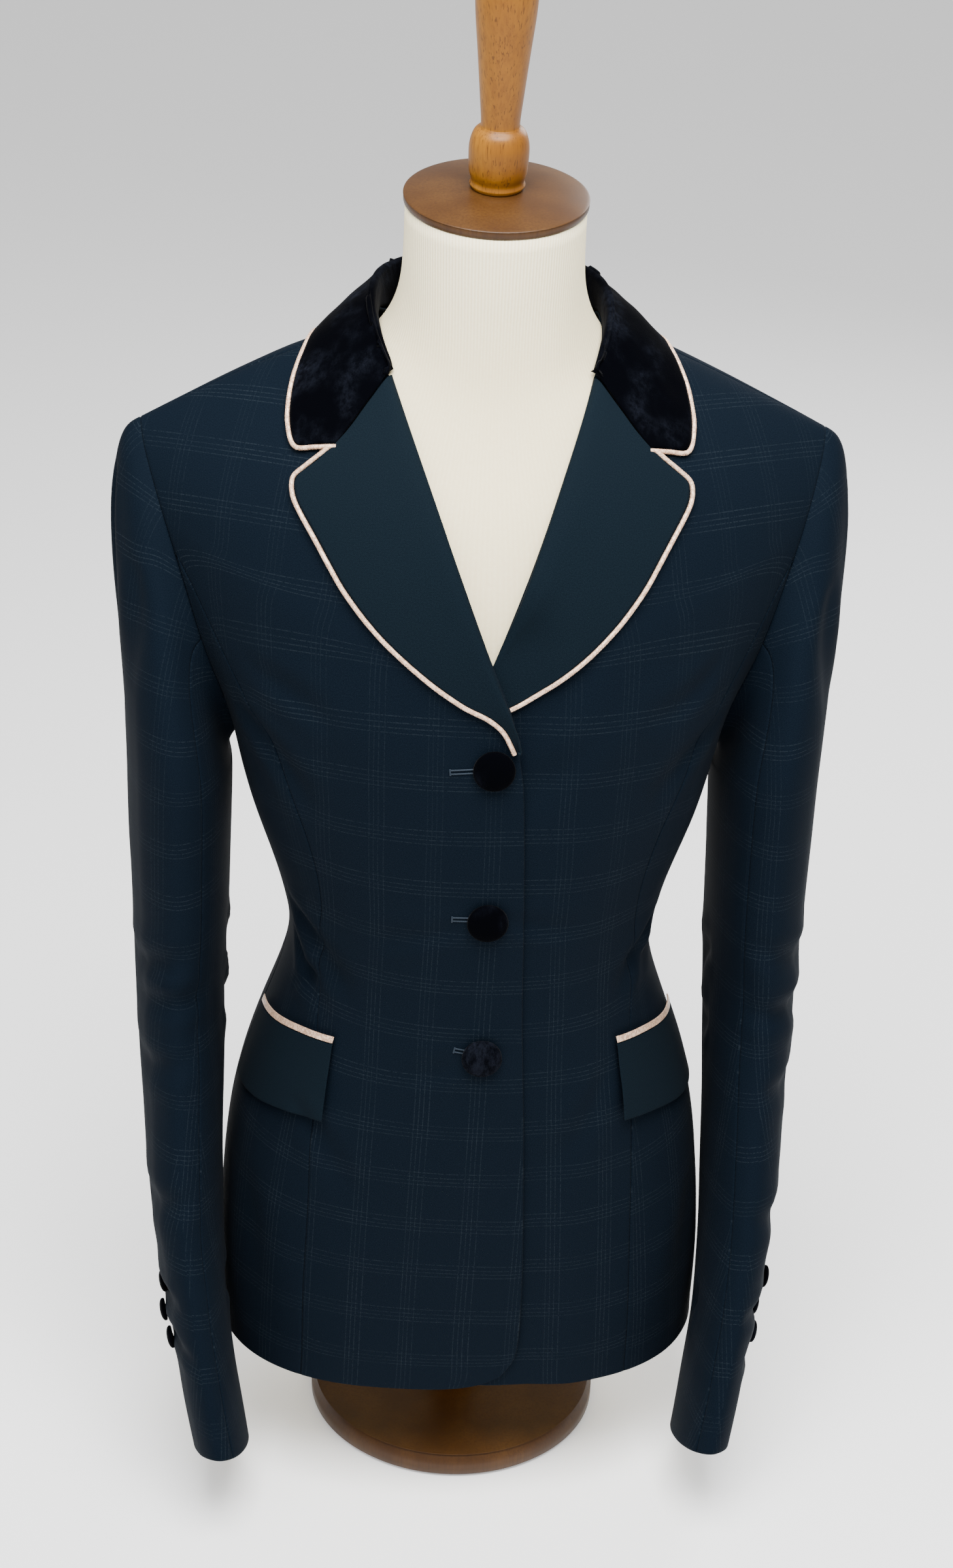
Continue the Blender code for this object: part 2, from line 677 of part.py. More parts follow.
def collar_fall(columns):
    """Outer edge of the fall, from the notch round its corner to the centre back."""
    notch = raised(*front_place(*LAPEL_EDGE[-1]), LAPEL_ROLL[-1][1])
    edge = curve_points(COLLAR_EDGE, np.linspace(0, 1, columns))
    rest = [raised(*place_at(x, v), COLLAR_LIFT) for x, v in edge]
    front = [notch + (rest[0] - notch) * k / CORNER_COLUMNS for k in range(CORNER_COLUMNS)]
    return np.array(front + rest)


def gorge_points(drop=0.0):
    """The collar's end, along the gorge seam beside the lapel's last row, this far under its face."""
    start, end = np.array((ROLL_LINE[-1][1], ROLL_LINE[-1][0])), np.array(LAPEL_EDGE[-1])
    along = (end - start) / np.linalg.norm(end - start)
    aside = np.array((-along[1], along[0])) * 2 * SEAM_GAP
    places = [front_place(*(start + (end - start) * at + aside)) for at, _ in COLLAR_END]
    return np.array([raised(s, v, h - drop) for (s, v), (_, h) in zip(places, COLLAR_END)])


def make_collar(velvet, leather):
    """Stand and fall as one folded wall, from one notch round the neck to the other."""
    steps = COLLAR_COLUMNS
    tree = coat_tree()
    shares = np.concatenate((np.linspace(0, 0.07, CORNER_COLUMNS + 1)[:-1], np.linspace(0.07, 1, steps - 1)))
    roll = curve_points(COLLAR_ROLL, shares)
    fall = collar_fall(steps - 1)
    seam = [raised(*place_at(x, v), 0.0003) for x, v in curve_points(NECK_SEAM, shares)]
    half = []
    for k in range(steps + 1):
        top = roll[k]
        radial = fall[k] - seam[k]
        radial[2] = 0.0
        radial /= np.linalg.norm(radial)
        fold = COLLAR_FOLD * min(1.0, 0.72 + 2.0 * shares[k])
        row = [seam[k] + (top - seam[k]) * 0.03, seam[k] + (top - seam[k]) * 0.55 - radial * fold * 0.6]
        for angle in FOLD_ANGLES:
            turn = math.radians(angle)
            row.append(top + radial * fold * math.cos(turn) + np.array((0, 0, fold * (math.sin(turn) - 1))))
        start = row[-1]
        for part in FALL_SHARES:
            point = start + (fall[k] - start) * part + radial * FALL_BULGE * math.sin(part * math.pi)
            place, normal, _, _ = tree.find_nearest(Vector(point))
            short = COLLAR_LIFT - (Vector(point) - place).dot(normal)
            row.append(point + np.array(normal) * max(0.0, short))
        half.append(row)
    half[0] = gorge_points()
    half = np.array(half)
    mirrored = half[:-1][::-1] * np.array((-1, 1, 1))
    outer = np.concatenate((half, mirrored))
    normal = grid_normals(outer)
    normal *= np.sign(normal[steps, -2, 1])
    inner = outer - normal * VELVET
    inner[0] = gorge_points(VELVET)
    inner[-1] = inner[0] * (-1, 1, 1)
    add_wall("collar", outer, inner, velvet)
    edge = outer[:, -1] - normal[:, -1] * VELVET * 0.4
    path = beside(edge, normal[:, -1], outer[:, -2], PIPING_GAP + PIPING_RADIUS)
    path[0] += (path[1] - path[0]) * NOTCH_SHARE
    path[-1] += (path[-2] - path[-1]) * NOTCH_SHARE
    add_piping("collar_piping", path, PIPING_RADIUS, leather)


def armhole_outward(points):
    """The way that each point of the sleeve leaves the armhole."""
    centre = points.mean(axis=0)
    ways = []
    for point in points:
        from_centre = point - centre
        rise = from_centre[2] / 0.10
        way = np.array((1.0, 0.7 * from_centre[1] / 0.06, -0.15 - 0.9 * max(0.0, -rise)))
        ways.append(way / np.linalg.norm(way))
    return np.array(ways)


def sleeve_ring(at, turns):
    """One ring of the sleeve. Turn 0 is its outer side and a quarter turn is its front."""
    high, x, y, thick, deep, tilt = (spline(column, at) for column in np.array(SLEEVE, float).T)
    tilt = math.radians(tilt)
    points = []
    for turn in turns:
        dent = 0.0
        for where, angle, depth, spread in SLEEVE_BREAKS:
            apart = (turn - math.radians(angle) + math.pi) % (2 * math.pi) - math.pi
            dent += depth * math.exp(-(((high - where) / spread) ** 2) - (apart / 0.7) ** 2)
        across = (thick - dent) * math.cos(turn)
        forward = (deep - dent) * math.sin(turn)
        lean = SLEEVE_LEAN * math.cos(turn) * max(0.0, 1 - at)
        points.append((x + across, y - forward * math.cos(tilt), high + forward * math.sin(tilt) + lean))
    return np.array(points)


def even_turns(lengths):
    """Angles round the flat ring for the armhole's points, by their share of its length."""
    turns = np.linspace(0, 2 * math.pi, 361)
    thick, deep = SLEEVE[0][3:5]
    ring = np.column_stack((thick * np.cos(turns), deep * np.sin(turns)))
    run = np.concatenate(([0], np.cumsum(np.linalg.norm(np.diff(ring, axis=0), axis=1))))
    return np.interp(np.array(lengths) * run[-1], run, turns)


def sleeve_grid():
    loop = armhole_loop()
    run = np.concatenate(([0], np.cumsum(np.linalg.norm(np.diff(loop, axis=0), axis=1))))
    bottom = ARMHOLE_STEPS + UNDERARM_STEPS
    down = run / run[bottom] / 2
    up = 0.5 + (run - run[bottom]) / (run[-1] - run[bottom]) / 2
    share = np.where(run <= run[bottom], down, up)
    turns = even_turns(share)
    ways = armhole_outward(loop)
    start = loop + ways * SEAM_GAP
    first = sleeve_ring(0.0, turns)
    reach = np.linalg.norm(first - start, axis=1, keepdims=True)
    leave = ways * (CAP_REACH + CAP_SHARE * reach)
    arrive = (sleeve_ring(0.15, turns) - first) / 0.15 * 0.6
    arrive = arrive / np.linalg.norm(arrive, axis=1, keepdims=True) * reach
    rows = []
    for k in range(CAP_ROWS):
        f = (k / CAP_ROWS) ** 1.15
        rows.append(
            (2 * f**3 - 3 * f**2 + 1) * start + (f**3 - 2 * f**2 + f) * leave
            + (3 * f**2 - 2 * f**3) * first + (f**3 - f**2) * arrive
        )
    for k in range(SLEEVE_ROWS + 1):
        rows.append(sleeve_ring(k / SLEEVE_ROWS * (len(SLEEVE) - 1), turns))
    return np.array(rows), turns


def make_sleeves(wool):
    grid, _ = sleeve_grid()
    grid = grid[:, :-1]
    count = grid.shape[1]
    around = np.concatenate((grid[:, -1:], grid, grid[:, :1]), axis=1)
    normal = grid_normals(around)[:, 1:-1]
    centre = grid.mean(axis=1, keepdims=True)
    if np.sum(normal * (grid - centre)) < 0:
        normal = -normal
    inner = grid - normal * CLOTH
    top = [k % count for k in range(BACK_SLEEVE_SEAM, count + FRONT_SLEEVE_SEAM + 1)]
    under = list(range(FRONT_SLEEVE_SEAM, BACK_SLEEVE_SEAM + 1))
    for side, hand in ((-1, "right"), (1, "left")):
        for name, columns in (("top_sleeve", top), ("under_sleeve", under)):
            face = grid[:, columns]
            shift = draw_in(face, SEAM_GAP) - face
            add_wall(f"{hand}_{name}", face + shift, inner[:, columns] + shift, wool, side)


def make_flaps(wool, leather):
    columns, rows = 9, 3
    shares = np.linspace(0, 1, columns + 1)
    top = curve_points(FLAP_TOP, shares)
    bottom = curve_points(FLAP_BOTTOM, shares)
    outer, inner = [], []
    for down in np.linspace(1, 0, rows + 1):
        row = []
        for k, ahead in enumerate(1 - shares):
            s, height = top[k] + (bottom[k] - top[k]) * down
            row.append((*place_on(s, height), FLAP_GAP + FLAP_STAND * down * ahead**1.5))
        outer.append([raised(s, v, stand + CLOTH) for s, v, stand in row])
        inner.append([raised(s, v, stand) for s, v, stand in row])
    strip_outer, strip_inner = [], []
    for rise in (0.0005, 0.0005 + POCKET_STRIP):
        places = [place_on(s, height + rise) for s, height in top]
        strip_outer.append([raised(s, v, FLAP_GAP + 0.0014) for s, v in places])
        strip_inner.append([raised(s, v, FLAP_GAP) for s, v in places])
    for side, hand in ((-1, "right"), (1, "left")):
        add_wall(f"{hand}_flap", np.array(outer), np.array(inner), wool, side)
        add_wall(f"{hand}_pocket_piping", np.array(strip_outer), np.array(strip_inner), leather, side)


def button_profile(radius):
    """A cloth covered button: a low dome over a rounded rim, and a flat back."""
    return (
        (0.0, 0.0), (radius * 0.86, 0.0), (radius, radius * 0.16), (radius * 0.93, radius * 0.32),
        (radius * 0.72, radius * 0.44), (radius * 0.40, radius * 0.52), (0.0, radius * 0.55),
    )


def facing(point, normal):
    """Turns +Z to a normal and moves to a point."""
    turn = Vector(normal).to_track_quat("Z", "Y").to_matrix().to_4x4()
    return Matrix.Translation(Vector(point)) @ turn


def make_buttons(velvet):
    for number, height in enumerate(BUTTON_HEIGHTS, 1):
        s, v = front_place(BUTTON_LINE, height)
        place = facing(raised(s, v, 0.0004), outward(s, v))
        add_turned(f"front_button_{number}", button_profile(FRONT_BUTTON), velvet, 18, place)
    grid, _ = sleeve_grid()
    rows = grid[CAP_ROWS:]
    for number, at in enumerate(CUFF_BUTTONS, 1):
        row = at * (len(rows) - 1)
        low = rows[int(row)]
        high = rows[int(row) + 1]
        ring = low + (high - low) * (row - int(row))
        point = ring[CUFF_COLUMN]
        along = high[CUFF_COLUMN] - low[CUFF_COLUMN]
        across = ring[CUFF_COLUMN + 1] - ring[CUFF_COLUMN - 1]
        normal = np.cross(along, across)
        normal /= np.linalg.norm(normal)
        if normal[0] < 0:
            normal = -normal
        place = facing(point + normal * 0.0008, normal)
        for side, hand in ((1, "left"), (-1, "right")):
            mirror = Matrix.Scale(side, 4, (1, 0, 0))
            name = f"{hand}_cuff_button_{number}"
            add_turned(name, button_profile(CUFF_BUTTON), velvet, 12, mirror @ place)


def in_opening(point, v):
    """Whether a point of the coat's surface lies in the neck opening or between the lapels."""
    if v >= SHOULDER_STATION:
        stations_up, reach = zip(*[(station, x) for x, station in NECK_SEAM if station >= SHOULDER_STATION])
        return v < stations_up[-1] and abs(point[0]) < np.interp(v, stations_up, reach)
    return point[2] > ROLL_LINE[2][0] and abs(point[0]) < between(ROLL_LINE, point[2])


def coat_tree():
    """The outer face of the coat without its neck opening, for keeping other pieces clear of it."""
    points, faces = [], []
    across = np.linspace(-1, 1, 61)
    along = np.linspace(0, len(STATION[0]) - 1, 151)
    for v in along:
        for s in across:
            points.append(Vector(on_coat(s, v)))
    wide = len(across)
    for i in range(len(along) - 1):
        for j in range(wide - 1):
            k = i * wide + j
            if not in_opening(points[k], along[i]):
                faces.append((k, k + 1, k + wide + 1, k + wide))
    return BVHTree.FromPolygons(points, faces)


def clear_of_coat(tree, point):
    place, normal, _, apart = tree.find_nearest(point)
    in_front = point.y < 0 and abs(point.x) < FRONT_ZONE[0] and point.z < FRONT_ZONE[1]
    if apart < (FRONT_CLEARANCE if in_front else TORSO_CLEARANCE):
        return False
    return math.hypot(point.x, point.y) < NECK_CLEARING or (point - place).dot(normal) < 0


def torso_ring(tree, high, wide, front, back):
    """One level ring of the torso, drawn in where it would come near the coat."""
    power = 2 / 2.15
    ring = []
    for k in range(TORSO_SIDES):
        turn = 2 * math.pi * k / TORSO_SIDES
        depth = front if math.sin(turn) < 0 else back
        reach = Vector((
            math.copysign(abs(math.cos(turn)) ** power, math.cos(turn)) * wide,
            math.copysign(abs(math.sin(turn)) ** power, math.sin(turn)) * depth,
            0.0,
        ))
        full = 1.0
        low, top = LEAST_TORSO_SHARE, 1.0
        if not clear_of_coat(tree, reach + Vector((0, 0, high))):
            for _ in range(14):
                full = (low + top) / 2
                if clear_of_coat(tree, reach * full + Vector((0, 0, high))):
                    low = full
                else:
                    top = full
            full = low
        ring.append(reach * full + Vector((0, 0, high)))
    return ring


def make_torso(jersey):
    tree = coat_tree()
    rings = [torso_ring(tree, *row) for row in TORSO]
    for high, share in ((NECK_RING_HEIGHT, 0.5), (NECK_TOP.z, 1.0)):
        ring = []
        for k in range(TORSO_SIDES):
            turn = 2 * math.pi * k / TORSO_SIDES
            x, y = NECK_RADIUS * math.cos(turn), NECK_RADIUS * math.sin(turn)
            rise = y * math.tan(NECK_TILT) * share
            ring.append(Vector((x + NECK_TOP.x * share, y + NECK_TOP.y * share, high + rise)))
        rings.append(ring)
    bm = bmesh.new()
    loops = [[bm.verts.new(point) for point in ring] for ring in rings]
    for low, high in zip(loops, loops[1:]):
        for k in range(TORSO_SIDES):
            n = (k + 1) % TORSO_SIDES
            bm.faces.new((low[k], low[n], high[n], high[k]))
    bm.faces.new(loops[0][::-1])
    bm.faces.new(loops[-1])
    add_piece("form_torso", bm, jersey)


def make_form_fittings(wood):
    turn = Matrix.Rotation(NECK_TILT, 4, "X")
    place = Matrix.Translation(NECK_TOP) @ turn
    radius = NECK_CAP_RADIUS
    cap = (
        (0.0, 0.0004), (radius - 0.0008, 0.0004), (radius, 0.0014), (radius, 0.0044),
        (radius - 0.0012, 0.0056), (radius * 0.72, 0.0082), (radius * 0.42, 0.0096), (0.0, 0.0098),
    )
    add_turned("neck_cap", cap, wood, 32, place)
    handle = (
        (0.0, 0.0101), (0.0150, 0.0101), (0.0162, 0.0120), (0.0155, 0.0150), (0.0168, 0.0200),
        (0.0174, 0.0300), (0.0170, 0.0370), (0.0150, 0.0430), (0.0118, 0.0460), (0.0112, 0.0490),
        (0.0126, 0.0650), (0.0150, 0.0900), (0.0172, 0.1120), (0.0176, 0.1260), (0.0160, 0.1360),
        (0.0110, 0.1430), (0.0, 0.1460),
    )
    add_turned("neck_handle", handle, wood, 18, place)
    bottom = TORSO[0][0] - 0.0003
    floor = -HEM_ABOVE_FLOOR
    top = floor + BASE_THICK
    post = (
        (0.0, top + 0.0003), (0.024, top + 0.0003), (0.024, top + 0.006), (POST_RADIUS, top + 0.012),
        (POST_RADIUS, bottom - 0.016), (0.030, bottom - 0.008), (0.030, bottom), (0.0, bottom),
    )
    add_turned("stand_post", post, wood, 18)
    base = (
        (0.0, floor), (BASE_RADIUS - 0.003, floor), (BASE_RADIUS, floor + 0.003),
        (BASE_RADIUS, top - 0.007), (BASE_RADIUS - 0.004, top - 0.002), (BASE_RADIUS - 0.011, top),
        (0.0, top),
    )
    add_turned("stand_base", base, wood, 36)


def centre_on_origin():
    """Moves everything so that the origin is below the middle of the whole part."""
    bpy.context.view_layer.update()
    corners = np.array([
        obj.matrix_world @ Vector(corner) for obj in bpy.context.scene.objects for corner in obj.bound_box
    ])
    middle = (corners.min(axis=0) + corners.max(axis=0)) / 2
    move = Matrix.Translation((-middle[0], -middle[1], -corners[:, 2].min()))
    for obj in bpy.context.scene.objects:
        obj.data.transform(move)
    print("moved by", [round(float(value), 5) for value in move.translation])


def main():
    clear_scene()
    wool = finish("navy_wool", (0.006, 0.011, 0.020), 0.85)
    velvet = finish("black_velvet", (0.003, 0.003, 0.004), 0.95)
    leather = finish("rose_champagne_leather", (0.75, 0.52, 0.38), 0.40, 0.35)
    jersey = finish("cream_jersey", (0.87, 0.80, 0.63), 0.90)
    wood = finish("honey_wood", (0.30, 0.14, 0.04), 0.35)
    make_body_panels(wool)
    make_lapels(wool, leather)
    make_collar(velvet, leather)
    make_sleeves(wool)
    make_flaps(wool, leather)
    make_buttons(velvet)
    make_torso(jersey)
    make_form_fittings(wood)
    centre_on_origin()


main()
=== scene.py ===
# %% [markdown]
# Equestrian show coat on a limbless dress form.
# The hard solids of the coat come in as a fixed frame. This script gives each of them its looks:
# thin shells of cloth with seams and creases, piping, velvet, buttons, jersey and turned wood.
# Lengths are in metres, +Z is up, the coat faces -Y and the wearer's left is +X.

# %% Load the frame
import math

import bmesh
import bpy
import numpy as np
from mathutils import Matrix, Vector, noise


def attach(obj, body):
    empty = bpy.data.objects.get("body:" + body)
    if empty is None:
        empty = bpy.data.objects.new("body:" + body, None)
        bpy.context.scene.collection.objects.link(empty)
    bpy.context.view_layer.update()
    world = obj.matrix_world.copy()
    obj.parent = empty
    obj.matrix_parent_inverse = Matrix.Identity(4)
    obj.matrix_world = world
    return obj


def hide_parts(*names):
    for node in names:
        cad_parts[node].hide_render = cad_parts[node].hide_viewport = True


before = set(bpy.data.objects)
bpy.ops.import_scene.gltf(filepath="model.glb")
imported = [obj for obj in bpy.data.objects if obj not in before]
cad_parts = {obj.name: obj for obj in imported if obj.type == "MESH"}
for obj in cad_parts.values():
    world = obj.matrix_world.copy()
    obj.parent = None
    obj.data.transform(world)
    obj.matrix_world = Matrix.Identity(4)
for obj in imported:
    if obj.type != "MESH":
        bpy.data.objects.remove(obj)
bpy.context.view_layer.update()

# %% [markdown]
# A cut piece of cloth arrives as a closed wall of loose triangles. Its looks need only the outer side,
# as a tidy sheet of four-sided faces. One could model the sheet again from numbers, but then it could
# drift away from the solid. So a copy of the solid is merged, split along its sharp rim, and the side
# that faces outwards is kept. The backs and lapels have blunter rims, so a smaller angle splits them.

# %% Take the outer side of a wall
RIM_ANGLE = math.radians(66)
RIM_ANGLES = {"back": math.radians(58), "lapel": math.radians(45)}
MERGE = 2e-6
SLICE = 0.04
BODY_AXIS = Vector((0.0, 0.017, 0.0))
END_WAY = (0.775, -0.57, -0.27)
END_FOOT = 0.70
END_BACK = -0.004
END_LIKENESS = 0.96


def merged_copy(node):
    bm = bmesh.new()
    bm.from_mesh(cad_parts[node].data)
    bmesh.ops.remove_doubles(bm, verts=bm.verts[:], dist=MERGE)
    return bm


def connected(faces):
    """Groups of faces that are joined by edges."""
    left, groups = set(faces), []
    while left:
        group, edge_of_group = set(), [left.pop()]
        while edge_of_group:
            face = edge_of_group.pop()
            group.add(face)
            for edge in face.edges:
                for other in edge.link_faces:
                    if other in left:
                        left.remove(other)
                        edge_of_group.append(other)
        groups.append(group)
    return groups


def split_at_rims(bm, angle):
    rims = [edge for edge in bm.edges if len(edge.link_faces) == 2 and edge.calc_face_angle() > angle]
    bmesh.ops.split_edges(bm, edges=rims)
    return connected(bm.faces)


def squareness(edge):
    """How far the two triangles beside an edge are from making a rectangle."""
    tips = [vert.co for face in edge.link_faces for vert in face.verts if vert not in edge.verts]
    ring = [edge.verts[0].co, tips[0], edge.verts[1].co, tips[1]]
    return max(
        abs((ring[k - 1] - ring[k]).angle(ring[(k + 1) % 4] - ring[k]) - math.pi / 2) for k in range(4)
    )


def pair_triangles(bm):
    """Joins triangles two by two. Where one is left alone, the pairs on a way to another are shifted."""
    shared = sorted((edge for edge in bm.edges if len(edge.link_faces) == 2), key=squareness)
    beside, mate = {face: [] for face in bm.faces}, {}
    for edge in shared:
        one, two = edge.link_faces
        beside[one].append(two)
        beside[two].append(one)
        if one not in mate and two not in mate:
            mate[one], mate[two] = two, one
    for lone in [face for face in bm.faces if face not in mate]:
        reached, queue, end = {lone: None}, [lone], None
        while queue and not end and lone not in mate:
            face = queue.pop(0)
            for other in beside[face]:
                if other not in mate and other is not lone:
                    end = (face, other)
                    break
                partner = mate.get(other)
                if partner and partner not in reached:
                    reached[partner] = (face, other)
                    queue.append(partner)
        while end:
            face, other = end
            mate[face], mate[other] = other, face
            end = reached[face]
    inner = [edge for edge in shared if mate.get(edge.link_faces[0]) is edge.link_faces[1]]
    bmesh.ops.dissolve_edges(bm, edges=inner, use_verts=False, use_face_split=False)


def is_end(face):
    """Whether a face is a cut end of the collar, at its seam with a lapel."""
    middle = face.calc_center_median()
    way = Vector((math.copysign(END_WAY[0], -middle.x), *END_WAY[1:]))
    return middle.z > END_FOOT and middle.y < END_BACK and face.normal.dot(way.normalized()) > END_LIKENESS


def area_of(faces):
    return sum(face.calc_area() for face in faces)


def cloth_face(node, own_axis=False):
    """The outer side of a cloth wall. Own axis is for a tube that doesn't go round the body."""
    bm = merged_copy(node)
    if node == "collar":
        bmesh.ops.delete(bm, geom=[face for face in bm.faces if is_end(face)], context="FACES")
    points = np.array([vert.co for vert in bm.verts])

    def centre_at(height):
        if not own_axis:
            return BODY_AXIS + Vector((0, 0, height))
        near = points[np.abs(points[:, 2] - height) < SLICE]
        return Vector(near.mean(axis=0))

    def faces_out(group):
        total = 0.0
        for face in group:
            middle = face.calc_center_median()
            total += face.calc_area() * face.normal.dot(middle - centre_at(middle.z))
        return total

    rim_angle = RIM_ANGLES.get(node.split("_")[-1], RIM_ANGLE)
    groups = sorted(split_at_rims(bm, rim_angle), key=area_of, reverse=True)
    keep = max(groups[:2], key=faces_out)
    bmesh.ops.delete(bm, geom=[face for face in bm.faces if face not in keep], context="FACES")
    pair_triangles(bm)
    return bm


# %% [markdown]
# A sheet made of a grid of faces has rows and columns. They are needed for edges, seams and piping.
# Walking from a corner to the next unvisited neighbours gives them, whatever order the file has.

# %% Rows and columns of a sheet
def border_chain(start, towards):
    """Border vertices from one corner to the next."""
    chain = [start, towards]
    while len(chain[-1].link_edges) > 2:
        ways = [
            edge.other_vert(chain[-1]) for edge in chain[-1].link_edges
            if edge.is_boundary and edge.other_vert(chain[-1]) not in chain
        ]
        if not ways:
            break
        chain.append(ways[0])
    return chain


def sheet_rows(bm):
    """The sheet's vertices in rows, from any corner."""
    corners = [vert for vert in bm.verts if len(vert.link_edges) == 2]
    start = min(corners, key=lambda vert: (round(vert.co.z, 4), vert.co.x))
    ways = [edge.other_vert(start) for edge in start.link_edges]
    row = border_chain(start, ways[0])
    rows, seen = [row], set(row)
    while True:
        following = []
        for vert in rows[-1]:
            fresh = [edge.other_vert(vert) for edge in vert.link_edges if edge.other_vert(vert) not in seen]
            following += fresh[:1]
        if len(following) < len(row):
            break
        rows.append(following)
        seen.update(following)
    return rows


# %% [markdown]
# Patterned cloth is cut flat, and its check follows the thread. So each piece gets a flat layout, the
# way a cutter's pattern lies on the cloth, in real metres and with the thread upright. Blender's unwrap
# finds the layout, and the script turns and scales it. The same layout gives each piece's cut size.

# %% Lay a piece out flat
CLOTH_MAP = "Cloth"


def lay_flat(obj):
    """Unwraps a sheet, in metres, with the thread along its second direction. Returns its flat size."""
    mesh = obj.data
    while mesh.uv_layers:
        mesh.uv_layers.remove(mesh.uv_layers[0])
    mesh.uv_layers.new(name=CLOTH_MAP)
    for other in bpy.context.selected_objects:
        other.select_set(False)
    bpy.context.view_layer.objects.active = obj
    obj.select_set(True)
    bpy.ops.object.mode_set(mode="EDIT")
    bpy.ops.mesh.select_all(action="SELECT")
    bpy.ops.uv.unwrap(method="ANGLE_BASED", margin=0.0)
    bpy.ops.object.mode_set(mode="OBJECT")
    obj.select_set(False)
    layer = mesh.uv_layers[CLOTH_MAP]
    flat = np.array([item.uv for item in layer.data])
    places = np.array([mesh.vertices[loop.vertex_index].co for loop in mesh.loops])
    solid_area = sum(face.area for face in mesh.polygons)
    flat_area = 0.0
    for face in mesh.polygons:
        ring = flat[list(face.loop_indices)]
        after = np.roll(ring, -1, axis=0)
        flat_area += abs(np.sum(ring[:, 0] * after[:, 1] - ring[:, 1] * after[:, 0])) / 2
    flat = flat * math.sqrt(solid_area / flat_area)
    columns = np.column_stack((flat, np.ones(len(flat))))
    up = np.linalg.lstsq(columns, places[:, 2], rcond=None)[0][:2]
    up /= np.linalg.norm(up)
    flat = np.column_stack((flat @ np.array((up[1], -up[0])), flat @ up))
    flat += places[:, [0, 2]].mean(axis=0) - flat.mean(axis=0)
    layer.data.foreach_set("uv", flat.astype(np.float32).ravel())
    width, length = flat.max(axis=0) - flat.min(axis=0)
    return float(width), float(length), float(solid_area)


# %% [markdown]
# The solids are built with few, flat faces. Worn cloth is smooth, so the sheets are subdivided. The
# usual subdivision pulls a curved sheet inwards, away from the solid. Pushing its control points out
# a few times until the smooth sheet passes through the solid's points keeps the real size.

# %% Smooth a sheet through its own points
FITTING_ROUNDS = 5
SHEET_LEVELS = 3


def add_object(name, data):
    obj = bpy.data.objects.new(name, data)
    bpy.context.scene.collection.objects.link(obj)
    return obj


def object_of(name, bm):
    """A new object that takes its mesh from a bmesh."""
    mesh = bpy.data.meshes.new(name)
    bm.to_mesh(mesh)
    bm.free()
    return add_object(name, mesh)


def points_of(mesh):
    flat = np.empty(len(mesh.vertices) * 3)
    mesh.vertices.foreach_get("co", flat)
    return flat.reshape(-1, 3)


def as_modified(obj):
    """The object as its modifiers make it."""
    bpy.context.view_layer.update()
    return obj.evaluated_get(bpy.context.evaluated_depsgraph_get())


def smooth_through(obj):
    """Subdivides an object's mesh so that the smooth surface passes through its first points."""
    mesh = obj.data
    smooth = obj.modifiers.new("smooth", "SUBSURF")
    smooth.levels = smooth.render_levels = SHEET_LEVELS
    smooth.boundary_smooth = "PRESERVE_CORNERS"
    smooth.uv_smooth = "PRESERVE_BOUNDARIES"
    target = points_of(mesh)
    control = target.copy()
    for _ in range(FITTING_ROUNDS):
        control += target - points_of(as_modified(obj).data)[:len(target)]
        mesh.vertices.foreach_set("co", control.ravel())
        mesh.update()
    fine = bpy.data.meshes.new_from_object(as_modified(obj))
    obj.modifiers.clear()
    obj.data = fine
    bpy.data.meshes.remove(mesh)
    return obj
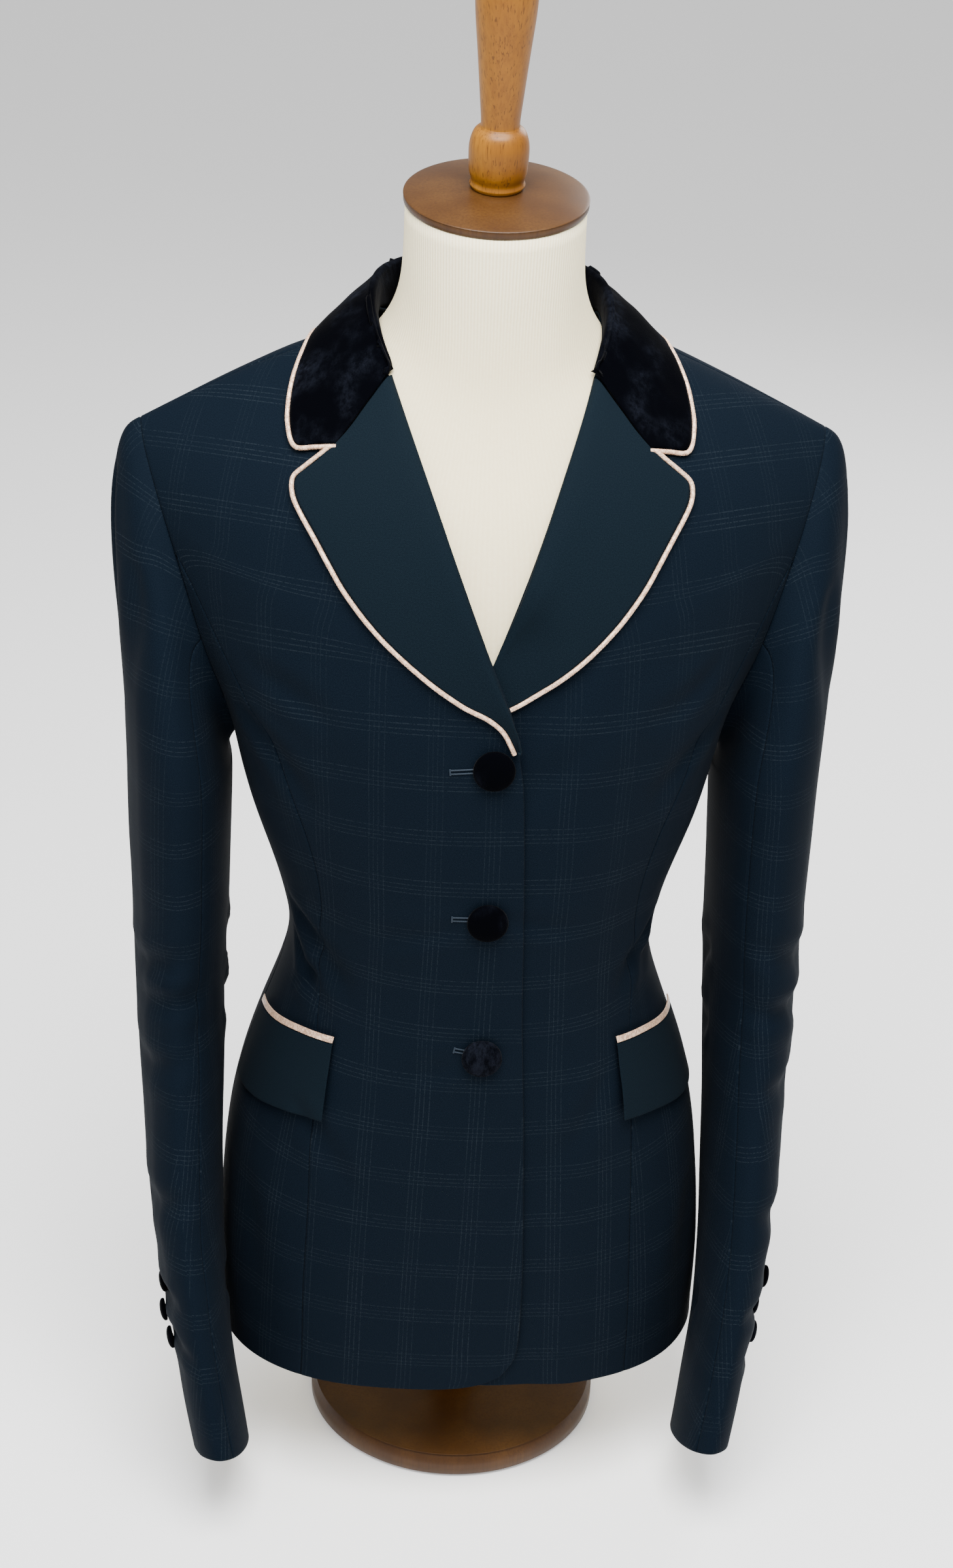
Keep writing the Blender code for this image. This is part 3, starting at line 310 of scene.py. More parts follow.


# %% [markdown]
# Worn cloth has creases where the body bends or a button pulls. They could come from a cloth
# simulation, but a tailored coat lies almost still, and a simulation would lose its sharp cut. So the
# main creases are placed one by one: each is a soft trough with low ridges beside it, uneven in length,
# depth and width. Turn is the way round the body or sleeve in degrees, from its front or outer side.

# %% Creases placed one by one
TROUGH_SIDE = 1.9
RIDGE_SHARE = 0.40
ROUND_RADIUS = 0.15
SLEEVE_RADIUS = 0.05
CREASE_COLUMNS = ("turn", "height", "to_turn", "to_height", "bow", "depth", "width")
BODY_CREASES = (
    (-70, 0.418, -38, 0.376, 0.006, 0.0016, 0.0085),
    (-72, 0.397, -46, 0.362, -0.005, 0.0012, 0.0070),
    (-68, 0.360, -42, 0.388, 0.004, 0.0010, 0.0060),
    (-52, 0.300, -34, 0.236, 0.004, 0.0009, 0.0080),
    (71, 0.412, 44, 0.372, -0.005, 0.0014, 0.0080),
    (74, 0.378, 48, 0.400, 0.004, 0.0010, 0.0065),
    (40, 0.330, 20, 0.256, 0.005, 0.0007, 0.0090),
    (-70, 0.558, -46, 0.500, 0.006, 0.0015, 0.0085),
    (-64, 0.590, -40, 0.562, 0.004, 0.0010, 0.0070),
    (68, 0.552, 44, 0.508, -0.006, 0.0013, 0.0080),
    (62, 0.596, 40, 0.566, 0.005, 0.0009, 0.0070),
    (-6, 0.440, -34, 0.424, 0.002, 0.0006, 0.0060),
    (5, 0.446, 30, 0.432, -0.002, 0.0006, 0.0060),
    (-4, 0.343, -24, 0.330, 0.002, 0.0006, 0.0060),
    (100, 0.408, 140, 0.372, 0.006, 0.0015, 0.0085),
    (104, 0.378, 150, 0.392, -0.004, 0.0012, 0.0075),
    (-102, 0.404, -146, 0.366, 0.005, 0.0016, 0.0085),
    (-98, 0.362, -138, 0.384, 0.004, 0.0010, 0.0070),
    (160, 0.372, 176, 0.398, 0.003, 0.0009, 0.0075),
    (-158, 0.366, -176, 0.388, 0.003, 0.0010, 0.0075),
    (112, 0.560, 138, 0.480, 0.008, 0.0017, 0.0100),
    (-114, 0.556, -140, 0.486, 0.008, 0.0014, 0.0100),
    (150, 0.250, 158, 0.120, 0.006, 0.0012, 0.0130),
    (-146, 0.240, -152, 0.110, -0.006, 0.0014, 0.0140),
    (-108, 0.270, -118, 0.130, 0.005, 0.0011, 0.0130),
    (110, 0.262, 116, 0.140, -0.004, 0.0012, 0.0120),
    (-66, 0.230, -60, 0.110, 0.004, 0.0010, 0.0140),
    (70, 0.220, 64, 0.112, -0.003, 0.0009, 0.0140),
)
RIGHT_SLEEVE_CREASES = (
    (30, 0.688, 22, 0.585, 0.004, 0.0016, 0.0100),
    (80, 0.640, 58, 0.560, 0.005, 0.0014, 0.0085),
    (-70, 0.640, -46, 0.560, 0.005, 0.0015, 0.0090),
    (96, 0.392, 30, 0.366, 0.006, 0.0019, 0.0085),
    (110, 0.356, 40, 0.342, -0.005, 0.0016, 0.0080),
    (100, 0.318, 24, 0.300, 0.004, 0.0013, 0.0085),
    (150, 0.375, 205, 0.350, 0.005, 0.0020, 0.0085),
    (160, 0.335, 215, 0.322, -0.004, 0.0015, 0.0080),
    (100, 0.232, 20, 0.208, 0.005, 0.0012, 0.0080),
    (84, 0.160, 10, 0.148, 0.004, 0.0016, 0.0070),
    (92, 0.128, 0, 0.118, -0.004, 0.0013, 0.0065),
    (150, 0.150, 220, 0.134, 0.004, 0.0014, 0.0070),
    (-10, 0.540, -20, 0.430, 0.003, 0.0010, 0.0140),
    (-60, 0.420, -80, 0.300, 0.005, 0.0010, 0.0120),
)
LEFT_SLEEVE_CREASES = (
    (26, 0.684, 20, 0.590, -0.003, 0.0014, 0.0100),
    (76, 0.630, 54, 0.546, 0.006, 0.0016, 0.0090),
    (-66, 0.632, -40, 0.566, 0.004, 0.0013, 0.0090),
    (98, 0.400, 40, 0.372, 0.005, 0.0016, 0.0085),
    (104, 0.348, 28, 0.330, -0.005, 0.0018, 0.0085),
    (92, 0.296, 30, 0.286, 0.004, 0.0011, 0.0080),
    (148, 0.366, 210, 0.340, 0.006, 0.0018, 0.0085),
    (156, 0.318, 212, 0.308, -0.004, 0.0013, 0.0080),
    (96, 0.218, 24, 0.198, 0.005, 0.0011, 0.0080),
    (90, 0.152, 6, 0.138, 0.005, 0.0017, 0.0070),
    (80, 0.116, 10, 0.110, 0.003, 0.0011, 0.0060),
    (152, 0.142, 214, 0.124, -0.004, 0.0015, 0.0070),
    (-14, 0.520, -18, 0.410, -0.003, 0.0009, 0.0140),
    (-64, 0.400, -76, 0.290, 0.004, 0.0011, 0.0120),
)
CREASE_GAIN = 2.3
FADE_POWER = 0.8
FADE_START = 1.15
FADE_LOSS = 0.5
START_WIDTH = 0.75
WIDENING = 0.5
SWELL = 0.0006
SWELL_SIZE = 0.055
SWELL_SHIFT = Vector((7.3, 3.1, 5.7))
BODY_SWELL = 1
SLEEVE_SWELL = 3


def crease_depth(around, height, creases, radius):
    """How far each place is pushed in, from its way round (as a length) and its height."""
    depth = np.zeros(len(around))
    for row in creases:
        crease = dict(zip(CREASE_COLUMNS, row))
        start = np.array((math.radians(crease["turn"]) * radius, crease["height"]))
        end = np.array((math.radians(crease["to_turn"]) * radius, crease["to_height"]))
        run = end - start
        length = np.linalg.norm(run)
        along_way = run / length
        beside_way = np.array((-along_way[1], along_way[0]))
        apart = np.column_stack((around, height)) - start
        along = np.clip(apart @ along_way / length, 0, 1)
        beside = apart @ beside_way - crease["bow"] * (1 - (2 * along - 1) ** 2)
        fade = (4 * along * (1 - along)) ** FADE_POWER * (FADE_START - FADE_LOSS * along)
        width = crease["width"] * (START_WIDTH + WIDENING * along)
        trough = np.exp(-((beside / width) ** 2))
        ridge = np.exp(-(((np.abs(beside) - TROUGH_SIDE * width) / width) ** 2))
        depth += CREASE_GAIN * crease["depth"] * fade * (trough - RIDGE_SHARE * ridge)
    return depth


def swell_at(points, seed):
    """A very soft unevenness that all cloth has."""
    shift = SWELL_SHIFT * seed
    return np.array([noise.noise(Vector(point) / SWELL_SIZE + shift) for point in points]) * SWELL


def body_relief(points):
    """How far the coat's cloth lies in at these points of the body, in metres."""
    turn = np.arctan2(points[:, 0], -(points[:, 1] - BODY_AXIS.y))
    push = crease_depth(turn * ROUND_RADIUS, points[:, 2], BODY_CREASES, ROUND_RADIUS)
    return push - swell_at(points, BODY_SWELL)


# %% [markdown]
# Creases are pressed into a sheet by moving its points along the surface's own normals. The depth at a
# place is the same for every layer, so a flap on a skirt follows the cloth below it.

# %% Move points along their normals
def normals_of(mesh):
    flat = np.empty(len(mesh.vertices) * 3)
    mesh.vertex_normals.foreach_get("vector", flat)
    return flat.reshape(-1, 3)


def press(mesh, push):
    """Moves each vertex in by this much along its normal."""
    moved = points_of(mesh) - normals_of(mesh) * push[:, None]
    mesh.vertices.foreach_set("co", moved.ravel())
    mesh.update()


# %% [markdown]
# A seam in wool is a narrow valley where both edges turn under. On a free edge, such as a hem, the
# cloth rounds over its fold. Both come from the same step: two narrow rings of faces are inset round
# the piece and its outermost lines are pushed in. Where the sheet's own faces are narrower than a ring,
# the ring takes only a part of them, so that it doesn't fold over. A Solidify modifier then gives the
# cloth its thickness, inwards.

# %% Finish a cut piece
BORDER = 0.0012
SEAM_DEPTH = 0.0007
CLOTH_THICKNESS = 0.0015
CORNER_REACH = 1.5
ROOM_NEEDED = 1.25
ROOM_TAKEN = 0.45
RING_SHARE = 0.4
RING_SINK = 0.35


def inset_edge(bm, width):
    """A ring of faces inside the edge, narrower where the next points are near. Gives its two sides."""
    bmesh.ops.inset_region(bm, faces=bm.faces[:], thickness=width, use_boundary=True, use_even_offset=True)
    rim = {vert for vert in bm.verts if vert.is_boundary}
    outer_of = {}
    for vert in rim:
        for edge in vert.link_edges:
            if not edge.is_boundary:
                outer_of[edge.other_vert(vert)] = vert
    places = {}
    for inner, outer in outer_of.items():
        way = inner.co - outer.co
        if not way.length:
            continue
        linked = [edge.other_vert(inner) for edge in inner.link_edges]
        beyond = [vert.co - outer.co for vert in linked if vert not in outer_of and vert not in rim]
        if way.length > CORNER_REACH * width:
            places[inner] = outer.co + way * (CORNER_REACH * width / way.length)
        if beyond:
            nearest = min(beyond, key=lambda run: run.dot(way))
            if nearest.dot(way) < ROOM_NEEDED * way.length_squared:
                places[inner] = outer.co + nearest * ROOM_TAKEN
    for inner, place in places.items():
        inner.co = place
    return rim, set(outer_of)


def sink_border(mesh, depth=SEAM_DEPTH, border=BORDER):
    bm = bmesh.new()
    bm.from_mesh(mesh)
    inset_edge(bm, border)
    rim, ring = inset_edge(bm, border * RING_SHARE)
    bm.normal_update()
    for vert in ring:
        vert.co -= vert.normal * depth * RING_SINK
    for vert in rim:
        vert.co -= vert.normal * depth
    bm.to_mesh(mesh)
    bm.free()


def finish_piece(obj, material, nodes=(), thickness=CLOTH_THICKNESS):
    obj.data.materials.clear()
    obj.data.materials.append(material)
    obj.data.shade_smooth()
    if thickness:
        solid = obj.modifiers.new("thickness", "SOLIDIFY")
        solid.thickness = thickness
        solid.offset = -1.0
        solid.use_even_offset = False
    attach(obj, "root")
    if nodes:
        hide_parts(*nodes)
    return obj


# %% [markdown]
# Materials are built from nodes. Writing each node and link by hand is long, so two small classes
# help: one holds a material and adds nodes of any type, the other wraps a number that varies over the
# surface, so that ordinary arithmetic on it adds Math nodes.

# %% Small classes for shader maths
class Field:
    """A number that varies over the surface."""

    def __init__(self, finish, socket):
        self.finish = finish
        self.socket = socket

    def maths(self, operation, first, second=None):
        values = {0: first} if second is None else {0: first, 1: second}
        node = self.finish.add("ShaderNodeMath", {"operation": operation}, values)
        return Field(self.finish, node.outputs[0])

    def __add__(self, other):
        return self.maths("ADD", self, other)

    __radd__ = __add__

    def __sub__(self, other):
        return self.maths("SUBTRACT", self, other)

    def __rsub__(self, other):
        return self.maths("SUBTRACT", other, self)

    def __mul__(self, other):
        return self.maths("MULTIPLY", self, other)

    __rmul__ = __mul__

    def __truediv__(self, other):
        return self.maths("DIVIDE", self, other)

    def __abs__(self):
        return self.maths("ABSOLUTE", self)

    def fraction(self):
        return self.maths("FRACT", self)

    def sine(self):
        return self.maths("SINE", self)

    def at_most(self, other):
        return self.maths("MINIMUM", self, other)

    def over(self, low, high, start=0.0, end=1.0):
        """Goes from start to end while this number goes from low to high."""
        node = self.finish.add(
            "ShaderNodeMapRange", {"interpolation_type": "SMOOTHSTEP"},
            {0: self, 1: low, 2: high, 3: start, 4: end},
        )
        return Field(self.finish, node.outputs[0])


class Finish:
    """A material and short ways to add to it."""

    def __init__(self, name, roughness, specular=0.5):
        self.material = bpy.data.materials.new(name)
        self.material.use_nodes = True
        self.tree = self.material.node_tree
        self.shader = self.tree.nodes["Principled BSDF"]
        self.shader.inputs["Roughness"].default_value = roughness
        self.shader.inputs["Specular IOR Level"].default_value = specular

    def put(self, socket, value):
        if isinstance(value, Field):
            value = value.socket
        if isinstance(value, bpy.types.NodeSocket):
            self.tree.links.new(value, socket)
        elif isinstance(value, tuple) and socket.type == "RGBA":
            socket.default_value = (*value, 1.0)
        else:
            socket.default_value = value

    def add(self, kind, settings=None, values=None):
        node = self.tree.nodes.new(kind)
        for name, setting in (settings or {}).items():
            setattr(node, name, setting)
        for name, value in (values or {}).items():
            self.put(node.inputs[name], value)
        return node

    def cloth_place(self):
        """The flat layout's two directions, in metres."""
        layout = self.add("ShaderNodeUVMap", {"uv_map": CLOTH_MAP})
        parts = self.add("ShaderNodeSeparateXYZ", None, {0: layout.outputs[0]})
        return layout.outputs[0], Field(self, parts.outputs[0]), Field(self, parts.outputs[1])

    def object_place(self):
        return self.add("ShaderNodeTexCoord").outputs["Object"]

    def cloudy(self, place, size, detail=2.0, rough=0.5, stretch=(1, 1, 1)):
        """Soft noise from 0 to 1, with patches of this size in metres."""
        sized = self.add(
            "ShaderNodeMapping", None, {"Vector": place, "Scale": tuple(part / size for part in stretch)},
        )
        cloud = self.add(
            "ShaderNodeTexNoise", None,
            {"Vector": sized.outputs[0], "Scale": 1.0, "Detail": detail, "Roughness": rough},
        )
        return Field(self, cloud.outputs[0])

    def blend(self, share, first, second):
        node = self.add("ShaderNodeMix", {"data_type": "RGBA"}, {"Factor": share, "A": first, "B": second})
        return node.outputs["Result"]

    def colour(self, value):
        self.put(self.shader.inputs["Base Color"], value)

    def bump(self, height, strength, distance):
        node = self.add(
            "ShaderNodeBump", None, {"Height": height, "Strength": strength, "Distance": distance},
        )
        self.put(self.shader.inputs["Normal"], node.outputs[0])

    def set(self, **values):
        for name, value in values.items():
            self.put(self.shader.inputs[name.replace("_", " ")], value)


# %% [markdown]
# The suiting is a fine worsted, so dark a navy that its check hardly shows: groups of hairlines both
# ways, a shade lighter than the ground. The lines follow the flat layout, so they bend at the seams
# as woven cloth does. Noise breaks them up, and a fine twill and grain go into the bump. The upright
# lines carry a painted sheen: they are strongest low on the skirt and fade to half up the chest.

# %% Navy suiting
NAVY = (0.0013, 0.0036, 0.0073)
NAVY_LIFT = (0.0029, 0.0059, 0.0106)
CHECK_LINE = (0.0200, 0.0275, 0.0345)
CHECK_REPEAT = 0.0352
CHECK_LINES = (0.10, 0.18, 0.26, 0.36)
CHECK_WIDTH = 0.0125
# painted sheen: heights over which the upright hairlines fade from full to half
CHECK_SHEEN_FADE = (0.30, 0.60)
CHECK_SHARE = 0.42
LAPEL_NAVY = (0.0020, 0.0048, 0.0080)
LAPEL_LIFT = (0.0036, 0.0076, 0.0116)
TWILL = 0.0011
WEAR_SIZE = 0.045
WEAR_RANGE = (0.35, 0.65)
BREAK_SIZE = 0.0011
GRAIN_SIZE = 0.0007


def suiting(name, check_share, ground=NAVY, lift=NAVY_LIFT):
    wool = Finish(name, roughness=0.80, specular=0.03)
    place, across, up = wool.cloth_place()

    def hairlines(coordinate):
        within = (coordinate / CHECK_REPEAT).fraction()
        lines = 0.0
        for centre in CHECK_LINES:
            lines = abs(within - centre).over(0.0, CHECK_WIDTH, 1.0, 0.0) + lines
        return lines

    worn = wool.cloudy(place, WEAR_SIZE, detail=3.0)
    broken = wool.cloudy(place, BREAK_SIZE, detail=1.0)
    check = hairlines(across) * worn.over(*WEAR_RANGE, 0.55, 1.0)
    # painted sheen: upright hairlines at full strength on the skirt, at half on the chest
    check = check * up.over(*CHECK_SHEEN_FADE, 1.0, 0.5)
    check = (check + hairlines(up) * worn.over(*WEAR_RANGE, 1.0, 0.5)) * broken.over(0.30, 0.62)
    grain = wool.cloudy(place, GRAIN_SIZE, rough=0.6)
    ground_colour = wool.blend(grain.over(0.3, 0.75), ground, lift)
    wool.colour(wool.blend((check * check_share).at_most(1.0), ground_colour, CHECK_LINE))
    twill = ((across + up) * (2 * math.pi / TWILL)).sine()
    wool.bump(twill * 0.15 + grain + check * 0.3, strength=0.35, distance=0.0003)
    wool.set(Sheen_Weight=0.006, Sheen_Roughness=0.5)
    return wool.material


navy_wool = suiting("navy_wool_suiting", CHECK_SHARE)
lapel_wool = suiting("navy_wool_lapel", 0.0, LAPEL_NAVY, LAPEL_LIFT)
print("suiting", len(navy_wool.node_tree.nodes), "nodes")

# %% [markdown]
# Velvet is a short dense pile. Where it is stroked one way it looks black, and where the pile is
# crushed it catches the light. That light is painted into its colour: large soft patches of painted
# sheen lighten it, with finer streaks inside them. The leather is foiled and crinkled: thin lines stay
# darker where it folds. The thread is twisted silk.

# %% Velvet, leather and thread
PILE = (0.0005, 0.0006, 0.0012)
# painted sheen: the lighter colour where the pile is crushed
CRUSHED_SHEEN = (0.0060, 0.0072, 0.0115)
CRUSH_SIZE = 0.026
STROKE_SIZE = 0.0045
PILE_SIZE = 0.0006
ROSE_FOLD = (0.46, 0.275, 0.175)
ROSE_FOIL = (0.78, 0.53, 0.375)
FOLD_SIZE = 0.0040
FINE_SIZE = 0.0012
FOLD_LINE = 0.07
THREAD_DARK = (0.006, 0.010, 0.017)
THREAD_LIGHT = (0.016, 0.026, 0.038)
TWIST_SIZE = 0.0005


def velvet_finish(name, smooth_share, crushed_sheen_share):
    velvet = Finish(name, roughness=0.95, specular=0.01)
    place = velvet.object_place()
    patches = velvet.cloudy(place, CRUSH_SIZE, rough=0.55, stretch=(1.0, 1.0, 0.6))
    strokes = velvet.cloudy(place, STROKE_SIZE, detail=4.0, rough=0.75, stretch=(1.0, 1.0, 0.45))
    # painted sheen: crushed patches and their streaks lighten the colour as if they caught the light
    crushed = patches.over(smooth_share, crushed_sheen_share) * strokes.over(0.36, 0.70, 0.10, 1.0)
    pile = velvet.cloudy(place, PILE_SIZE, detail=1.0)
    velvet.colour(velvet.blend(crushed, PILE, CRUSHED_SHEEN))
    velvet.bump(pile + strokes * 0.8, strength=0.5, distance=0.0004)
    velvet.set(Sheen_Weight=0.02, Sheen_Roughness=0.35)
    return velvet.material


def leather_finish():
    leather = Finish("rose_champagne_metallic", roughness=0.38)
    place = leather.object_place()
    folds = leather.cloudy(place, FOLD_SIZE, detail=4.0, rough=0.65)
    fine = leather.cloudy(place, FINE_SIZE, detail=3.0, rough=0.7)
    crinkle = abs(folds - 0.5).over(0.0, FOLD_LINE)
    leather.colour(leather.blend(crinkle, ROSE_FOLD, ROSE_FOIL))
    leather.bump(crinkle + fine * 0.4, strength=0.6, distance=0.0003)
    leather.set(Metallic=0.25, Coat_Weight=0.15)
    return leather.material


def thread_finish():
    thread = Finish("navy_silk_thread", roughness=0.6, specular=0.15)
    twist = thread.cloudy(thread.object_place(), TWIST_SIZE, detail=1.0)
    thread.colour(thread.blend(twist, THREAD_DARK, THREAD_LIGHT))
    return thread.material


black_velvet = velvet_finish("black_velvet_pile", smooth_share=0.44, crushed_sheen_share=0.78)
# a velvet with more painted sheen, for the lowest front button
crushed_sheen_velvet = velvet_finish("black_velvet_crushed_pile_sheen", smooth_share=-0.40, crushed_sheen_share=0.30)
rose_leather = leather_finish()
navy_thread = thread_finish()
print("velvet", len(black_velvet.node_tree.nodes), "nodes")

# %% [markdown]
# The form wears cream jersey with fine upright ribs. The ribs follow the layout round the form, so
# they stay upright on the neck. The hollows between ribs and stitches get a painted shade. The
# wooden parts are turned from one block each: the grain runs along them, under a satin honey varnish.

# %% Jersey and wood
RIB = 0.0019
RIB_FADE = (0.74, 0.83)
STITCH_SIZE = 0.0014
# painted shade: the colour in the hollows of the knit
CREAM_SHADE = (0.84, 0.72, 0.45)
CREAM = (0.96, 0.88, 0.62)
WARMTH_SIZE = 0.030
FIBRE_SIZE = 0.0016
PORE_SIZE = 0.0009
PORE = (0.040, 0.014, 0.004)
HONEY = ((0.155, 0.055, 0.003), (0.270, 0.110, 0.008))
HONEY_STREAK = (0.110, 0.036, 0.004)
BROWN = ((0.042, 0.016, 0.003), (0.066, 0.028, 0.006))
BROWN_STREAK = (0.030, 0.011, 0.0025)


def jersey_finish():
    jersey = Finish("cream_ribbed_jersey", roughness=0.90, specular=0.2)
    place, across, up = jersey.cloth_place()
    rib = (across * (2 * math.pi / RIB)).sine() * 0.5 + 0.5
    stitch = jersey.cloudy(place, STITCH_SIZE, rough=0.6, stretch=(1.0, 0.5, 1.0))
    rib = rib * up.over(*RIB_FADE, 0.2, 1.0)
    # painted shade: the hollows between ribs and the low stitches are darker than their tops
    shade = (rib * 0.7 + stitch * 0.5).over(0.1, 1.0)
    jersey.colour(jersey.blend(shade, CREAM_SHADE, CREAM))
    jersey.bump(rib * 0.8 + stitch * 0.4, strength=0.5, distance=0.0004)
    return jersey.material


def wood_finish(name, tones, streak):
    wood = Finish(name, roughness=0.40, specular=0.2)
    place = wood.object_place()
    warmth = wood.cloudy(place, WARMTH_SIZE, stretch=(1.0, 1.0, 0.25))
    fibres = wood.cloudy(place, FIBRE_SIZE, detail=3.0, rough=0.6, stretch=(1.0, 1.0, 0.06))
    pores = wood.cloudy(place, PORE_SIZE, detail=1.0, stretch=(1.0, 1.0, 0.09))
    ground = wood.blend(warmth.over(0.25, 0.75), *tones)
    light = wood.blend(fibres.over(0.35, 0.75, 0.0, 0.55), ground, streak)
    wood.colour(wood.blend(pores.over(0.60, 0.70, 0.0, 0.6), light, PORE))
    wood.bump(fibres, strength=0.10, distance=0.0002)
    wood.set(Coat_Weight=0.08, Coat_Roughness=0.25)
    return wood.material


cream_jersey = jersey_finish()
honey_wood = wood_finish("honey_varnished_wood", HONEY, HONEY_STREAK)
brown_wood = wood_finish("brown_varnished_wood", BROWN, BROWN_STREAK)
print("wood", len(honey_wood.node_tree.nodes), "nodes")

# %% [markdown]
# The coat's body is eight cut pieces: a front, side front, side back and back for each side. If each
# were smoothed alone, their edges would part at the seams. So they are joined into one shell, smoothed
# and creased together, and only then parted again along the seams.

# %% Shell of the body
PANELS = ("front", "side_front", "side_back", "back")
BODY_PANELS = tuple(f"{hand}_{panel}" for panel in PANELS for hand in ("right", "left"))
SEAM_WELD = 0.0013
pieces = {}


def flat_object(node, own_axis=False):
    obj = object_of(node + "_sheet", cloth_face(node, own_axis))
    lay_flat(obj)
    return obj


def discard(obj):
    mesh = obj.data
    bpy.data.objects.remove(obj)
    bpy.data.meshes.remove(mesh)


def join_sheets(nodes, own_axis=False):
    """One shell of several sheets. The material index says which sheet a face came from."""
    bm = bmesh.new()
    for index, node in enumerate(nodes):
        obj = flat_object(node, own_axis)
        for face in obj.data.polygons:
            face.material_index = index
        bm.from_mesh(obj.data)
        discard(obj)
    bmesh.ops.remove_doubles(bm, verts=bm.verts[:], dist=SEAM_WELD)
    shell = object_of("shell", bm)
    for _ in nodes:
        shell.data.materials.append(None)
    return shell


def part_sheet(shell, index, name):
    """One sheet of a shell, parted again along its seams."""
    bm = bmesh.new()
    bm.from_mesh(shell.data)
    others = [face for face in bm.faces if face.material_index != index]
    bmesh.ops.delete(bm, geom=others, context="FACES")
    for face in bm.faces:
        face.material_index = 0
    return object_of(name, bm)


def make_panels(nodes, shell):
    for index, node in enumerate(nodes):
        obj = part_sheet(shell, index, node + "_cloth")
        sink_border(obj.data)
        pieces[node] = finish_piece(obj, navy_wool, (node,))
    discard(shell)


body_shell = smooth_through(join_sheets(BODY_PANELS))
press(body_shell.data, body_relief(points_of(body_shell.data)))
make_panels(BODY_PANELS, body_shell)

# %% [markdown]
# Each sleeve has two pieces, a top and an under sleeve, sewn into a tube. They are treated as the
# body is, with their own creases: folds run from the armhole, break in the bend of the arm and
# stack up a little above the cuff.

# %% Sleeves
SLEEVE_BINS = 24
ARMHOLE_FOOT = 0.45
ALLOWANCE = ((0.0012, 0.0007), (0.0030, 0.0012))


def sleeve_turn(points, side):
    """The way round a sleeve from its outer side, in radians. A quarter turn is its front."""
    heights = np.linspace(points[:, 2].min(), points[:, 2].max(), SLEEVE_BINS)
    middles = []
    for height in heights:
        near = points[np.abs(points[:, 2] - height) < SLICE / 2]
        middles.append((near.min(axis=0) + near.max(axis=0)) / 2)
    middles = np.array(middles)
    middle_x = np.interp(points[:, 2], heights, middles[:, 0])
    middle_y = np.interp(points[:, 2], heights, middles[:, 1])
    return np.arctan2(-(points[:, 1] - middle_y), (points[:, 0] - middle_x) * side)


def sleeve_relief(points, side, creases):
    """Some creases run past the inner side, where the turn jumps, so they are looked for on both laps."""
    turn = sleeve_turn(points, side)
    push = np.zeros(len(points))
    for lap in (-2 * math.pi, 0.0, 2 * math.pi):
        push += crease_depth((turn + lap) * SLEEVE_RADIUS, points[:, 2], creases, SLEEVE_RADIUS)
    return push - swell_at(points, SLEEVE_SWELL + side)


def put_in_order(bm):
    """Sorts edges and faces by their vertices, because extruding adds them in a new order each run."""
    bm.verts.index_update()
    count = len(bm.verts)

    def order(part):
        ends = sorted(vert.index for vert in part.verts)
        return float((ends[0] * count + ends[1]) * count + ends[-1])

    bm.edges.sort(key=order)
    bm.faces.sort(key=order)


def extend_edge(bm, edges, ways, steps):
    """Extrudes an edge step by step, each so far on along the sheet and so far down from it."""
    for out_step, down_step in steps:
        before = {tuple(vert.co): way for vert, way in ways.items()}
        new = bmesh.ops.extrude_edge_only(bm, edges=edges)["geom"]
        edges = [item for item in new if isinstance(item, bmesh.types.BMEdge)]
        ways = {vert: before[tuple(vert.co)] for vert in new if isinstance(vert, bmesh.types.BMVert)}
        for vert, (out, normal) in ways.items():
            vert.co += out * out_step - normal * down_step
    put_in_order(bm)


def add_allowance(mesh):
    """Lets the edge of a sleeve at the armhole run on under the body's edge, as its seam allowance does."""
    bm = bmesh.new()
    bm.from_mesh(mesh)
    bm.normal_update()
    edges = [edge for edge in bm.edges if edge.is_boundary and edge.verts[0].co.z > ARMHOLE_FOOT]
    ways = {}
    for vert in {vert for edge in edges for vert in edge.verts}:
        inner = [edge.other_vert(vert) for edge in vert.link_edges if not edge.is_boundary]
        ways[vert] = ((vert.co - inner[0].co).normalized() if inner else Vector(), vert.normal.copy())
    extend_edge(bm, edges, ways, ALLOWANCE)
    bm.to_mesh(mesh)
    bm.free()


for hand, side, creases in (("right", -1, RIGHT_SLEEVE_CREASES), ("left", 1, LEFT_SLEEVE_CREASES)):
    nodes = (f"{hand}_top_sleeve", f"{hand}_under_sleeve")
    sleeve_shell = smooth_through(join_sheets(nodes, own_axis=True))
    press(sleeve_shell.data, sleeve_relief(points_of(sleeve_shell.data), side, creases))
    add_allowance(sleeve_shell.data)
    make_panels(nodes, sleeve_shell)

# %% [markdown]
# A lapel is the top of the front, folded back along the roll line. Its face lies just above the front
# and turns over softly at the roll, so the script extends that edge round and under, like a fold.

# %% Lapels
LAPEL_THICKNESS = 0.0013
ROLL_UNDER = ((0.0011, 0.0009), (0.0008, 0.0020), (-0.0009, 0.0022))


def single_sheet(node, name):
    """A piece that isn't sewn into a shell, smoothed by itself."""
    obj = smooth_through(flat_object(node))
    obj.name = name
    return obj


